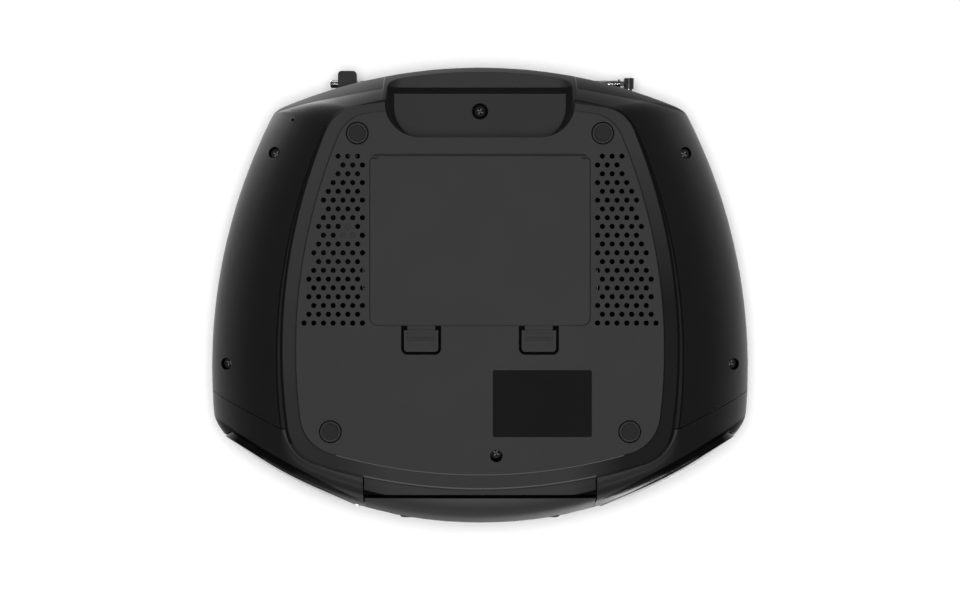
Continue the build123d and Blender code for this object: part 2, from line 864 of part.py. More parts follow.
# A spur gear with pointed teeth that run just clear of their neighbours
def spur(x, y, radius, teeth, z0, z1, bore):
    wheel = Circle(radius - 1.0)
    tip = radius - 0.1
    step = 360 / teeth
    half = math.radians(step) * 0.3
    root = radius - 1.2
    foot_x, foot_y = root * math.cos(half), root * math.sin(half)
    tooth = make_face(Polyline((foot_x, -foot_y), (tip, 0), (foot_x, foot_y), close=True))
    wheel = wheel + [Rot(0, 0, step * k) * tooth for k in range(teeth)]
    if bore:
        wheel = wheel - Circle(bore)
    return Pos(x, y, z0) * extrude(wheel, z1 - z0)


def sled_gear():
    low = rod_z - rod_radius - 1.5
    return spur(gear_x, gear_y, gear_radius, gear_teeth, low, low + 3, rod_radius + fit)


def motor_pinion():
    low = rod_z - rod_radius - 1.5
    wheel = spur(motor_x, gear_y, pinion_radius, pinion_teeth, low, low + 3, 0)
    return wheel + post(motor_x, gear_y, 0.8, low - 6, low + 1)


def sled_motor():
    high = rod_z - rod_radius - 3.5
    can = post(motor_x, gear_y, 8, high - 13, high)
    return can - post(motor_x, gear_y, 0.8 + fit, high - 5, high + 1)


def dampers():
    return group([post(x, y, 4, chassis_top, well_floor_z - wall) for x, y in damper_places()])


# Lid: a low dome over the well, hinged on a tongue at its rear
def dome(drop):
    radius = (lid_radius**2 + lid_dome**2) / (2 * lid_dome)
    return Pos(0, well_y, top_z + lid_dome - drop - radius) * Sphere(radius)


def lid_low_z():
    return lid_floor_z + play


def hinge_z():
    return (lid_low_z() + top_z) / 2


def cd_lid():
    low = lid_low_z()
    tall = Pos(0, well_y, low) * extrude(lid_outline(0), lid_dome + lid_recess + 5)
    body = tall & dome(0)
    body = body - block(-60, 60, hinge_y, hinge_y + 20, low - 1, top_z + 20)
    body = body - (post(0, well_y, lid_radius - lid_thickness, low - 1, top_z + 20) & dome(lid_thickness))
    half = hinge_arm_x + hinge_arm_width / 2
    body = body - block(-half - 1, half + 1, well_y + lid_radius + 1, hinge_y + 9, top_z, top_z + 9)
    radius = (top_z - low) / 2
    body = body + bar_x(-half, half, hinge_y, hinge_z(), radius)
    body = body + bar_x(-half - 2.4, half + 2.4, hinge_y, hinge_z(), 1.5)
    body = body - post(0, well_y, window_radius - 2.5, low - 1, top_z + 20)
    return body - (post(0, well_y, window_radius + play, low - 1, top_z + 20) - dome(window_thickness))


def lid_window():
    disc = post(0, well_y, window_radius, lid_floor_z, top_z + 20)
    return (disc & dome(0)) - dome(window_thickness - fit)


def hinge_sockets():
    reach = hinge_arm_x + hinge_arm_width / 2 + 2.4 + play
    return bar_x(-reach, reach, hinge_y, hinge_z(), 1.5 + fit)


# Speakers, each built in its own frame
# A barrel round the upright axis, whose bulging side is the face of the bezel
def bezel_barrel():
    half = bezel_height
    belly = bezel_level_radius - bezel_upright_radius
    side = belly + math.sqrt(bezel_upright_radius**2 - half**2)
    line = Polyline((side, half), (0, half), (0, -half), (side, -half))
    arc = ThreePointArc((side, -half), (bezel_level_radius, 0), (side, half))
    barrel = revolve(make_face(line.edges() + arc.edges()), Axis.Y, 360)
    return Pos(0, 0, bezel_bulge - bezel_level_radius) * barrel


def speaker_bezel():
    size = (bezel_width - 2 * play, bezel_height - 2 * play, bezel_corner)
    body = rounded_plate(*size, -bezel_seat, 30) & bezel_barrel()
    body = body - post(0, 0, grille_radius - 1.5, -9, 30)
    return body - post(0, 0, grille_radius + fit, -9, 1.0)


def grille_cap(drop):
    radius = (grille_radius**2 + grille_dome**2) / (2 * grille_dome)
    return Pos(0, 0, 0.6 + grille_dome - drop - radius) * Sphere(radius)


def speaker_grille():
    rim = post(0, 0, grille_radius, -bezel_seat, 0.9) - post(0, 0, grille_radius - 1.0, -9, 9)
    cap = (post(0, 0, grille_radius - 1.6, -9, 30) & grille_cap(0)) - grille_cap(1.0)
    flange = post(0, 0, grille_radius, 0.2, 0.9) - post(0, 0, grille_radius - 2.2, -9, 9)
    return rim + flange + cap


def driver_frame():
    back = -bezel_seat - wall
    flange = post(0, 0, driver_radius, back - 1.2, back)
    flange = flange - post(0, 0, driver_radius - 5.5, back - 9, back + 1)
    outer = Pos(0, 0, back - 10.6) * Cone(magnet_radius - 1, driver_radius - 4, 18.8)
    inner = Pos(0, 0, back - 10.6) * Cone(magnet_radius - 2.2, driver_radius - 5.2, 18.9)
    windows = [
        Rot(0, 0, 45 + 90 * k) * block(10, driver_radius + 5, -9, 9, back - 15, back - 5) for k in range(4)
    ]
    basket = outer - inner
    for window in windows:
        basket = basket - window
    rear = post(0, 0, magnet_radius - 1, back - 21.2, back - 20) - post(0, 0, 9, back - 30, back)
    surround = post(0, 0, driver_radius - 5, back - 2.8, back - 0.4)
    surround = surround - post(0, 0, cone_radius + play, back - 9, back + 9)
    return flange + basket + rear + surround


def driver_cone():
    back = -bezel_seat - wall - 2.2
    outer = Pos(0, 0, back - 5) * Cone(10, cone_radius, 10)
    inner = Pos(0, 0, back - 4.4) * Cone(10, cone_radius, 10)
    cap = Pos(0, 0, back - 19) * Sphere(15) & post(0, 0, 11, back - 8.5, back + 5)
    coil = post(0, 0, 8, back - 17, back - 9.5) - post(0, 0, 7.4, back - 20, back - 9.9)
    return outer - inner + cap + coil + post(0, 0, 10, back - 10, back - 8.4)


def driver_magnet():
    back = -bezel_seat - wall - 21.2
    ring = post(0, 0, magnet_radius, back - 12, back) - post(0, 0, 9, back - 10, back + 1)
    return ring + post(0, 0, 6.9, back - 11, back)


# Control panel, in the frame of the leaning front
def panel_drum(inset):
    return Pos(0, 0, panel_proud - panel_radius) * Rot(90, 0, 0) * Cylinder(panel_radius - inset, 300)


def panel_front(x):
    return panel_proud - panel_radius + math.sqrt(panel_radius**2 - x**2)


def button_list():
    row_a, row_b = -5.5, -20.5
    return [
        ("play_button", 0, row_a, 17, 15, 7.4),
        ("previous_button", -23.5, row_a, 20, 11, 3),
        ("next_button", 23.5, row_a, 20, 11, 3),
        ("stop_button", -33, row_b, 17, 8, 2.5),
        ("source_button", -11, row_b, 17, 8, 2.5),
        ("tuning_down_button", 11, row_b, 17, 8, 2.5),
        ("tuning_up_button", 33, row_b, 17, 8, 2.5),
    ]


def control_panel():
    body = rounded_plate(panel_width, panel_height, panel_corner, -panel_depth, 9) & panel_drum(0)
    size = (panel_width - 2 * wall, panel_height - 2 * wall)
    core = rounded_plate(*size, panel_corner - wall, -panel_depth - 1, 9)
    body = body - (core & panel_drum(wall))
    frame = Pos(0, display_up, 0) * block(
        -display_width / 2 - 2, display_width / 2 + 2, -display_height / 2 - 2, display_height / 2 + 2,
        -6.0, -1.0,
    )
    body = body + (frame & panel_drum(1.0))
    seat = Pos(0, display_up, 0) * rounded_plate(display_width + play, display_height + play, 1.5, -2.8, 9)
    hole = Pos(0, display_up, 0) * rounded_plate(display_width - 5, display_height - 5, 1, -20, 9)
    body = body - seat - hole
    for _, x, y, width, height, corner in button_list():
        hole = rounded_plate(width + 2 * play, height + 2 * play, corner + play, -panel_depth - 1, 9)
        body = body - Pos(x, y, 0) * hole
    return body


def display_window():
    return Pos(0, display_up, 0) * rounded_plate(display_width, display_height, 1.4, -2.8, -1.1)


def display_module():
    size = (display_width - 6, display_height - 6)
    glass = rounded_plate(*size, 0.8, -panel_depth + 1.6, -3.0)
    return Pos(0, display_up, 0) * glass


def control_board():
    size = (panel_width - 2 * wall - 2, panel_height - 2 * wall - 2)
    board = rounded_plate(*size, 3, -panel_depth, -panel_depth + 1.6)
    for _, x, y, _, _, _ in button_list():
        board = board + post(x, y, 2.2, -panel_depth + 1, -panel_depth + 2.6)
    return board


def panel_button(x, y, width, height, corner):
    floor = -panel_depth + 2.6 + button_travel + 0.2
    face = panel_front(x) + button_proud
    cap = rounded_plate(width, height, corner, floor, face)
    cap = fillet(cap.edges().group_by(Axis.Z)[-1], 0.8)
    inner = panel_front(abs(x) + width / 2 + 1) - wall
    flange = rounded_plate(width + 2, height + 2, corner + 1, floor, min(floor + 0.8, inner - play))
    return Pos(x, y, 0) * (cap + flange)


# Deck controls
def volume_knob():
    x, y = knob_place
    grip = post(x, y, knob_radius, top_z + 0.6, top_z + 0.6 + knob_height)
    grip = fillet(grip.edges().group_by(Axis.Z)[-1], 1.6)
    groove = block(knob_radius - 0.5, knob_radius + 2, -0.6, 0.6, top_z, top_z + 8)
    for step in range(knob_grooves):
        grip = grip - Pos(x, y, 0) * Rot(0, 0, 360 / knob_grooves * step) * groove
    return grip + post(x, y, knob_shaft_radius, top_z - wall - 7, top_z + 1)


def volume_control():
    x, y = knob_place
    body = block(x - 9, x + 9, y - 9, y + 9, top_z - wall - 9, top_z - wall)
    return body - post(x, y, knob_shaft_radius + fit, top_z - wall - 7.5, top_z)


def power_button():
    x, y = power_place
    cap = post(x, y, power_radius, top_z - wall - 2.2, top_z + 1.5)
    cap = fillet(cap.edges().group_by(Axis.Z)[-1], 0.8)
    return cap + post(x, y, power_radius + 1.5, top_z - wall - 2.2, top_z - wall - play)


def power_switch():
    x, y = power_place
    high = top_z - wall - 2.2 - button_travel - 0.2
    board = block(x - 14, x + 14, y - 9, y + 9, high - 3.2, high - 1.6)
    posts = [post(x + dx, y, 1.6, high - 1.6, top_z - wall) for dx in (-12, 12)]
    return together([board, post(x, y, 2.5, high - 1.8, high)] + posts)


# Boards and supply
def main_board():
    low = board_z()
    board = block(-50, 50, door_y - 38, door_y + 38, low, low + 1.6)
    chips = [
        block(-30, -14, 8, 24, low + 1.5, low + 4),
        block(2, 20, 26, 40, low + 1.5, low + 4),
        block(-44, -24, 44, 47, low + 1.5, low + 20),
        block(24, 46, -6, 2, low + 1.5, low + 9),
    ]
    cans = [post(x, y, 4, low + 1.5, low + 13) for x, y in ((34, 46), (24, 52), (-4, 50), (-36, 28))]
    return together([board] + chips + cans)


def board_z():
    return cell_room().bounding_box().max.Z + 2 + 5


def board_posts():
    low = cell_room().bounding_box().max.Z + 1
    return [post(x, door_y + y, 3, low, board_z()) for x in (-45, 45) for y in (-33, 33)]


def transformer():
    low = base_z + transformer_floor
    x0, x1, y = transformer_boss[0] - 4, transformer_far_x + 4, transformer_boss[1]
    foot = block(x0, x1, y - 8, y + 8, low, low + 1.5)
    core = block(x0 + 2, x1 - 2, y - 16, y + 16, low + 1.5, low + 32)
    coil = block(x0 + 5, x1 - 5, y - 21, y + 21, low + 6, low + 27)
    return foot + core + coil


def power_board():
    low = base_z + power_board_lift
    board = block(61, 90, 57, 84, low, low + 1.6)
    cans = [post(x, y, 5, low + 1.5, low + 17) for x, y in ((67, 64), (79, 64))]
    return together([board, block(68, 84, 74, 80, low + 1.5, low + 12)] + cans)


def supply_posts():
    floor, top = base_z + 1, base_z + transformer_floor
    far_post = post(transformer_far_x, transformer_boss[1], transformer_boss_radius, floor, top)
    return [far_post] + [post(x, 70.5, 2.5, floor, base_z + power_board_lift) for x in (64, 84)]


# Sockets on the rear wall
def inlet_shape(grow, y0, y1):
    face = SlotOverall(inlet_width + 2 * grow, inlet_height + 2 * grow)
    return Pos(inlet_x, y1, inlet_z) * Rot(90, 0, 0) * extrude(face, y1 - y0)


def ac_inlet():
    nose = inlet_shape(0, ledge_y - wall - 1, ledge_y + 0.6)
    half_x, half_z = inlet_width / 2 + 2, inlet_height / 2 + 2
    body = block(
        inlet_x - half_x, inlet_x + half_x, ledge_y - 20, ledge_y - wall, inlet_z - half_z, inlet_z + half_z
    )
    body = body + nose - inlet_shape(-2.0, ledge_y - 13, ledge_y + 5)
    pins = [bar_y(inlet_x + dx, ledge_y - 14, ledge_y - 2, inlet_z, 1.2) for dx in (-4.3, 4.3)]
    return together([body] + pins)


def audio_jack():
    nose = bar_y(jack_x, ledge_y - wall - 1, ledge_y + 0.6, jack_z, jack_nose_radius)
    body = block(jack_x - 5, jack_x + 5, ledge_y - 17, ledge_y - wall, jack_z - 5, jack_z + 5)
    return body + nose - bar_y(jack_x, ledge_y + 0.6 - jack_length, ledge_y + 3, jack_z, jack_radius)


# Antenna: a turning base in the rear wall, an elbow and four sections
def antenna_socket():
    return bar_y(antenna_x, antenna_y - 15, antenna_y + 5, antenna_z, antenna_pin_radius + fit)


def antenna_base():
    head = bar_y(antenna_x, antenna_y - antenna_head, antenna_y + antenna_head, antenna_z, antenna_head)
    slot_half_height = antenna_tongue + play
    slot = block(
        antenna_x - antenna_head - 1, antenna_x + 9, antenna_y - antenna_head + 0.2, antenna_y + 9,
        antenna_z - slot_half_height, antenna_z + slot_half_height,
    )
    pin = post(antenna_x, antenna_y, elbow_pin_radius, antenna_z - 2, antenna_z + 2)
    stem = bar_y(antenna_x, antenna_y - 14.5, antenna_y - antenna_head + 0.2, antenna_z, antenna_pin_radius)
    return head - slot + pin + stem


def antenna_section(step):
    outer = antenna_radii[step]
    start = antenna_x + antenna_neck + step * 1.5
    end = antenna_x + antenna_length - 5 + step * 0.5
    tube = bar_x(start, end, antenna_y, antenna_z, outer)
    last = step == len(antenna_radii) - 1
    if not last:
        bore = antenna_radii[step + 1] + fit
        tube = tube - bar_x(start + 1.2, end + 1, antenna_y, antenna_z, bore)
    else:
        knob = bar_x(end + 1.5, end + 6, antenna_y, antenna_z, antenna_tip_radius)
        knob = fillet(knob.edges().group_by(Axis.X)[-1], 1.0)
        tube = bar_x(start, end + 2, antenna_y, antenna_z, outer) + knob
    if step == 0:
        low, high = antenna_z - antenna_tongue, antenna_z + antenna_tongue
        tongue = post(antenna_x, antenna_y, antenna_head - 0.4, low, high)
        neck = block(antenna_x, start + 0.5, antenna_y - 1.4, antenna_y + 1.4, low, high)
        collar = bar_x(start, start + 1.2, antenna_y, antenna_z, outer + 0.8)
        hole = post(antenna_x, antenna_y, elbow_pin_radius + fit, antenna_z - 3, antenna_z + 3)
        tube = tube + tongue + neck + collar - hole
    return tube


def antenna_rest_block():
    low = ledge_z - 2.5
    rear = antenna_y + 6.5
    front = antenna_y - 6.5
    face = Rectangle(2 * rest_half, rear - front)
    face = fillet(face.vertices().group_by(Axis.Y)[-1], 2.0)
    return Pos(rest_x, (rear + front) / 2, low) * extrude(face, antenna_z + 1.5 - low)


def antenna_rest():
    body = antenna_rest_block()
    groove = antenna_radii[0] + play / 2
    body = body - bar_x(rest_x - 20, rest_x + 20, antenna_y, antenna_z, groove)
    above = block(rest_x - 20, rest_x + 20, antenna_y - groove, antenna_y + 20, antenna_z, antenna_z + 20)
    behind = block(rest_x - 20, rest_x + 20, antenna_y, antenna_y + 20, antenna_z - groove, antenna_z + 20)
    return body - above - behind


def rating_label():
    plate = rounded_plate(label_width, label_depth, 1.0, base_z - label_thickness, base_z)
    return Pos(label_x, label_y, 0) * plate


def build():
    os.makedirs("parts", exist_ok=True)
    outer, inner = outer_block(), inner_block()
    for shape in hollows(0):
        outer = outer - shape
    for shape in hollows(wall):
        inner = inner - shape
    shell = outer - inner
    save(bottom_cabinet(shell, outer), "bottom_cabinet")
    save(front_cabinet(shell, outer), "front_cabinet")
    save(top_cabinet(shell, outer), "top_cabinet")
    save(front_lip(shell), "front_lip")
    save(disc_tray(shell), "disc_tray")
    save(feet(), "feet")
    save(rating_label(), "rating_label")
    save(cabinet_screws(), "cabinet_screws")
    save(battery_door(), "battery_door")
    save(battery_contacts(), "battery_contacts")
    save(cd_lid(), "cd_lid")
    save(lid_window(), "lid_window")
    drive = (mech_chassis, guide_rods, spindle_motor, turntable, laser_sled, laser_lens, sled_gear,
             motor_pinion, sled_motor, dampers)
    boards = (main_board, power_board, transformer, ac_inlet, audio_jack, volume_knob, volume_control,
              power_button, power_switch, antenna_base, antenna_rest)
    for make in drive + boards:
        save(make(), make.__name__)
    for side, sign in side_signs:
        save(battery_latch(sign), "battery_latch_" + side)
        frame = speaker_frame(sign)
        save(frame * speaker_bezel(), side + "_speaker_bezel")
        save(frame * speaker_grille(), side + "_grille")
        save(frame * driver_frame(), side + "_speaker_frame")
        save(frame * driver_cone(), side + "_speaker_cone")
        save(frame * driver_magnet(), side + "_speaker_magnet")
    frame = panel_frame()
    for make in (control_panel, display_window, display_module, control_board):
        save(frame * make(), make.__name__)
    for name, x, y, width, height, corner in button_list():
        save(frame * panel_button(x, y, width, height, corner), name)
    for step in range(len(antenna_radii)):
        save(antenna_section(step), "antenna_section_%d" % (step + 1))


build()
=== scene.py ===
# %% [markdown]
# # A portable CD radio, seen from below
# The radio's frame comes first: every moulding, screw and gear already has its true shape and place in
# it. What follows gives each of them the finish of the real one, and adds the small parts that only the
# eye needs.

# %% Load the frame
import json
import math

import bmesh
import bpy
from mathutils import Matrix, Vector


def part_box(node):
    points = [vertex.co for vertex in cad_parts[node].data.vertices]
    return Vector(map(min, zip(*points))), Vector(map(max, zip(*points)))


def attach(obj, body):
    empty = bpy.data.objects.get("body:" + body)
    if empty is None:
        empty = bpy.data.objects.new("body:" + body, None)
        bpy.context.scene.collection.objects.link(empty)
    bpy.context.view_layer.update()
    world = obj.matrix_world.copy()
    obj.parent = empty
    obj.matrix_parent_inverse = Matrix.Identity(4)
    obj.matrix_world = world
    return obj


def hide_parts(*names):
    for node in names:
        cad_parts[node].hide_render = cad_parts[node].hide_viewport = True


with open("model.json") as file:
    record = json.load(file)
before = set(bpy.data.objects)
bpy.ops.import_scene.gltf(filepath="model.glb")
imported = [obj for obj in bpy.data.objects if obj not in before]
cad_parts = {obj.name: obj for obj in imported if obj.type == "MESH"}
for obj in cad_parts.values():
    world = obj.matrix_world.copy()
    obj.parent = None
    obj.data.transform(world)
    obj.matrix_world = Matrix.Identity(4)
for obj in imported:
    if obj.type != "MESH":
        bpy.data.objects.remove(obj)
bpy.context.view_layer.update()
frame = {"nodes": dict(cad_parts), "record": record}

MM = 0.001

# %% [markdown]
# ## Camera
# The photograph looks straight up at the base, with the rear of the radio at the top of the picture. A
# lens of 78 mm about a metre away gives the mild perspective in which the wide middle still looks wide. A
# camera looks along its own -Z, so half a turn about Y makes it look up, and leaves its top towards +Y.

# %% Place the camera
CAMERA_DROP = 1040 * MM
CAMERA_SHIFT = -3.8 * MM
LENS, SENSOR_WIDTH = 78.0, 36.0
camera = bpy.data.objects.new("camera", bpy.data.cameras.new("camera"))
camera.data.lens = LENS
camera.data.sensor_width = SENSOR_WIDTH
camera.location = (0, CAMERA_SHIFT, -CAMERA_DROP)
camera.rotation_euler = (0, math.pi, 0)
bpy.context.scene.collection.objects.link(camera)
bpy.context.scene.camera = camera
bpy.context.scene.view_settings.view_transform = "Standard"
print("camera", CAMERA_DROP, "m under the table's level")

# %% [markdown]
# ## Node helpers
# A maker writes a swatch as a hex colour, and one function turns it to the linear light that a shader
# adds up. Another adds a node with its settings and links, so that a material reads as a list of what
# goes into what.

# %% Node helpers
def linear(swatch):
    parts = [int(swatch[i:i + 2], 16) / 255 for i in (1, 3, 5)]
    return tuple(c / 12.92 if c <= 0.04045 else ((c + 0.055) / 1.055) ** 2.4 for c in parts) + (1.0,)


def add(tree, kind, inputs=None, **settings):
    made = tree.nodes.new("ShaderNode" + kind)
    for name, value in settings.items():
        setattr(made, name, value)
    for name, value in (inputs or {}).items():
        if isinstance(value, bpy.types.NodeSocket):
            tree.links.new(value, made.inputs[name])
        else:
            made.inputs[name].default_value = value
    return made


def new_material(name):
    material = bpy.data.materials.new(name)
    material.use_nodes = True
    material.node_tree.nodes.clear()
    return material, material.node_tree


print("black swatch #141416 is", [round(c, 4) for c in linear("#141416")[:3]], "in linear light")

# %% [markdown]
# ## World
# A product studio is white where the picture looks past the object, so a camera ray meets plain white.
# Black plastic shows little else than what it reflects: a mirrored or transmitted ray meets a sky that is
# dark at the sides and below, and white overhead, which draws the curves. All other rays get an even,
# weak fill.

# %% Light the world
FILL = 0.22
SIDE_GLOW = 0.04
WHITE_FROM = 0.95
world = bpy.data.worlds.new("studio")
world.use_nodes = True
bpy.context.scene.world = world
tree = world.node_tree
tree.nodes.clear()
path = add(tree, "LightPath")
way = add(tree, "SeparateXYZ", {"Vector": add(tree, "TexCoord").outputs["Generated"]})
rays = {0: path.outputs["Is Glossy Ray"], 1: path.outputs["Is Transmission Ray"]}
mirrored = add(tree, "Math", rays, operation="MAXIMUM")
ramp = {"From Min": 0.0, "From Max": WHITE_FROM, "To Min": SIDE_GLOW, "To Max": 1.0}
sky = add(tree, "MapRange", {"Value": way.outputs["Z"], **ramp})
light = {"Factor": mirrored.outputs[0], 2: FILL, 3: sky.outputs["Result"]}
light = add(tree, "Mix", light, data_type="FLOAT")
strength = {"Factor": path.outputs["Is Camera Ray"], 2: light.outputs[0], 3: 1.0}
strength = add(tree, "Mix", strength, data_type="FLOAT")
background = add(tree, "Background", {"Color": linear("#ffffff"), "Strength": strength.outputs[0]})
add(tree, "OutputWorld", {"Surface": background.outputs["Background"]})
print("world", len(tree.nodes), "nodes")

# %% [markdown]
# ## Lamps
# A round lamp behind the camera lights the base, and gives the soft dark rim on the backdrop behind the
# radio. A weak strip at the rear catches the rear corners, and one at the front the wings and the lip.
# Two softboxes overhead light the deck and the front for the other views. An area lamp of P watts gives P
# / (pi d^2) watts on each square metre at d metres, and pi of them show white as white. The photograph's
# base is lit evenly, so the round lamp is a little further away than the camera is.

# %% Hang the lamps
MIDDLE = (0, 0, 0.06)


def area_lamp(name, place, power, width, depth=None):
    lamp = bpy.data.lights.new(name, "AREA")
    lamp.shape = "RECTANGLE" if depth else "ELLIPSE"
    lamp.size, lamp.size_y = width, depth or width
    lamp.energy = power
    made = bpy.data.objects.new(name, lamp)
    made.location = place
    made.rotation_euler = (Vector(MIDDLE) - Vector(place)).to_track_quat("-Z", "Y").to_euler()
    bpy.context.scene.collection.objects.link(made)


area_lamp("base_lamp", (0, -0.004, -1.2), 15.0, 0.24)
area_lamp("rear_strip", (0.25, 1.3, -0.35), 1.3, 0.8, 0.25)
area_lamp("front_strip", (0.05, -1.3, -0.12), 4.0, 1.4, 0.5)
area_lamp("key_softbox", (-0.9, -1.1, 1.3), 22.0, 0.9, 0.7)
area_lamp("rear_softbox", (0.9, 1.2, 1.2), 14.0, 0.9, 0.7)

# %% [markdown]
# ## Stage
# The radio stands on a pale table. The camera is under it, so the table shows its upper side only, and
# lets light through. The photograph has a white sheet behind the radio, so a second sheet hangs just over
# it and shows its under side only. Backfacing tells a paper's shader which of its sides a ray has met.

# %% Lay the stage
TABLE_REACH = 3.0
BACKDROP_REACH = 1.0
BACKDROP_HEIGHT = 0.1335


def one_sided(name, swatch):
    material, tree = new_material(name)
    path = add(tree, "LightPath")
    back = add(tree, "NewGeometry").outputs["Backfacing"]
    not_seen = add(tree, "Math", {0: 1.0, 1: path.outputs["Is Camera Ray"]}, operation="SUBTRACT")
    clear = add(tree, "Math", {0: not_seen.outputs[0], 1: back}, operation="MAXIMUM")
    paper = add(tree, "BsdfDiffuse", {"Color": linear(swatch)})
    gone = add(tree, "BsdfTransparent")
    shader = add(tree, "MixShader", {0: clear.outputs[0], 1: paper.outputs[0], 2: gone.outputs[0]})
    add(tree, "OutputMaterial", {"Surface": shader.outputs[0]})
    return material


def sheet_at(name, height, reach, face_down, swatch):
    bm = bmesh.new()
    bmesh.ops.create_grid(bm, x_segments=1, y_segments=1, size=reach)
    bmesh.ops.translate(bm, verts=bm.verts, vec=(0, 0, height))
    if face_down:
        bmesh.ops.reverse_faces(bm, faces=bm.faces)
    mesh = bpy.data.meshes.new(name)
    bm.to_mesh(mesh)
    bm.free()
    made = bpy.data.objects.new(name, mesh)
    mesh.materials.append(one_sided(name + "_paper", swatch))
    bpy.context.scene.collection.objects.link(made)


sheet_at("table", 0.0, TABLE_REACH, False, "#f0f0ee")
sheet_at("backdrop", BACKDROP_HEIGHT, BACKDROP_REACH, True, "#ffffff")

# %% [markdown]
# ## Black plastic
# The cabinet is black ABS. A spark-eroded mould leaves a fine grain on it, and a polished mould leaves
# none. Grain is a few tenths of a millimetre across, which is drawn at about twice its size so that a
# pixel shows it. Sheen is never quite even on a large moulding, so the roughness drifts a little over 30
# mm. Real edges are never sharp. The Bevel node rounds them in the shading alone, and leaves the solids
# as they are.

# %% Black plastic
EDGE_RADIUS_MM = 0.35
GRAIN_MM = 0.6
GRAIN_DEPTH_MM = 0.1
DRIFT_MM = 30


def plastic(tree, place, swatch, roughness, grain=0.0, grain_mm=GRAIN_MM, uneven=0.06, shine=0.5):
    broad = add(tree, "TexNoise", {"Vector": place, "Scale": 1 / (DRIFT_MM * MM), "Detail": 3.0})
    drift = {"To Min": roughness - uneven, "To Max": roughness + uneven}
    rough = add(tree, "MapRange", {"Value": broad.outputs["Fac"], **drift})
    soft_edge = add(tree, "Bevel", {"Radius": EDGE_RADIUS_MM * MM}, samples=4)
    normal = soft_edge.outputs[0]
    if grain:
        pits = {"Scale": 1 / (grain_mm * MM), "Detail": 2.0, "Roughness": 0.6}
        fine = add(tree, "TexNoise", {"Vector": place, **pits})
        height = {"Height": fine.outputs["Fac"], "Strength": grain, "Distance": GRAIN_DEPTH_MM * MM}
        normal = add(tree, "Bump", {**height, "Normal": normal}).outputs["Normal"]
    look = {"Base Color": linear(swatch), "Roughness": rough.outputs["Result"], "Specular IOR Level": shine}
    return add(tree, "BsdfPrincipled", {**look, "Normal": normal}).outputs[0]


print("grain drawn every", GRAIN_MM, "mm, edges rounded by", EDGE_RADIUS_MM, "mm")

# %% [markdown]
# ## Zones
# A mould is polished in one place and eroded in the next, so one moulding can have several finishes. A
# zone is a place in millimetres that takes a finish of its own. It is a test on Object coordinates, which
# gives one inside and nothing outside, and a Mix Shader reads it. Painting a mask or splitting the mesh
# would do as well, but a test needs neither a map nor a cut, and it moves with the value that it is
# written from. Here are the tests' three tools: a value between two limits, two tests in one, and a test
# that fades in.

# %% Tools of the zones
X_AXIS, Y_AXIS, Z_AXIS = 0, 1, 2


def between(tree, value, low, high):
    inputs = {0: value, 1: (low + high) / 2 * MM, 2: (high - low) / 2 * MM}
    return add(tree, "Math", inputs, operation="COMPARE").outputs[0]


def both(tree, first, second):
    return add(tree, "Math", {0: first, 1: second}, operation="MULTIPLY").outputs[0]


def fading(zone, axis, clear_at, full_at):
    def test(tree, place):
        along = add(tree, "SeparateXYZ", {0: place}).outputs[axis]
        levels = {"Value": along, "From Min": clear_at * MM, "From Max": full_at * MM}
        return both(tree, zone(tree, place), add(tree, "MapRange", levels).outputs["Result"])

    return test


print("a test gives one inside its limits and nothing outside them")

# %% [markdown]
# A box has a lowest and a highest corner. It may be bowed: it narrows towards both ends by a share of the
# squared distance from its middle, as the base does. How far a point lies past the faces tells whether it
# is inside.

# %% Box zones
BASE_BOW = 1 / 562


def box_zone(low, high, bow=0.0):
    middle = [(a + b) / 2 * MM for a, b in zip(low, high)]
    half = [(b - a) / 2 * MM for a, b in zip(low, high)]

    def test(tree, place):
        offset = add(tree, "VectorMath", {0: place, 1: middle}, operation="SUBTRACT")
        reach = add(tree, "VectorMath", {0: offset.outputs[0]}, operation="ABSOLUTE")
        over = add(tree, "VectorMath", {0: reach.outputs[0], 1: half}, operation="SUBTRACT")
        past = add(tree, "SeparateXYZ", {0: over.outputs[0]})
        along = add(tree, "SeparateXYZ", {0: offset.outputs[0]}).outputs[Y_AXIS]
        squared = add(tree, "Math", {0: along, 1: 2.0}, operation="POWER").outputs[0]
        wide = {0: squared, 1: bow / MM, 2: past.outputs[X_AXIS]}
        wide = add(tree, "Math", wide, operation="MULTIPLY_ADD")
        most = add(tree, "Math", {0: wide.outputs[0], 1: past.outputs[Y_AXIS]}, operation="MAXIMUM")
        most = add(tree, "Math", {0: most.outputs[0], 1: past.outputs[Z_AXIS]}, operation="MAXIMUM")
        return add(tree, "Math", {0: most.outputs[0], 1: 0.0}, operation="LESS_THAN").outputs[0]

    return test


def even_box(half_width, front, rear, low, high, bow=0.0):
    return box_zone((-half_width, front, low), (half_width, rear, high), bow)


print("the base draws in by", round(100**2 * BASE_BOW, 1), "mm at 100 mm from its middle")

# %% [markdown]
# A ring lies round each of several upright axes, for the grooves of the feet and the holes of the screws.
# A slanted zone is a slice between two planes that face along a normal, folded so that it lies at all
# four corners.

# %% Ring and slanted zones
FAR = 1.0


def ring_zone(centres, inner, outer, low, high):
    def test(tree, place):
        flat = add(tree, "VectorMath", {0: place, 1: (1, 1, 0)}, operation="MULTIPLY").outputs[0]
        nearest = FAR
        for x, y in centres:
            ends = {0: flat, 1: (x * MM, y * MM, 0)}
            gap = add(tree, "VectorMath", ends, operation="DISTANCE").outputs["Value"]
            nearest = add(tree, "Math", {0: gap, 1: nearest}, operation="MINIMUM").outputs[0]
        height = add(tree, "SeparateXYZ", {0: place}).outputs[Z_AXIS]
        return both(tree, between(tree, nearest, inner, outer), between(tree, height, low, high))

    return test


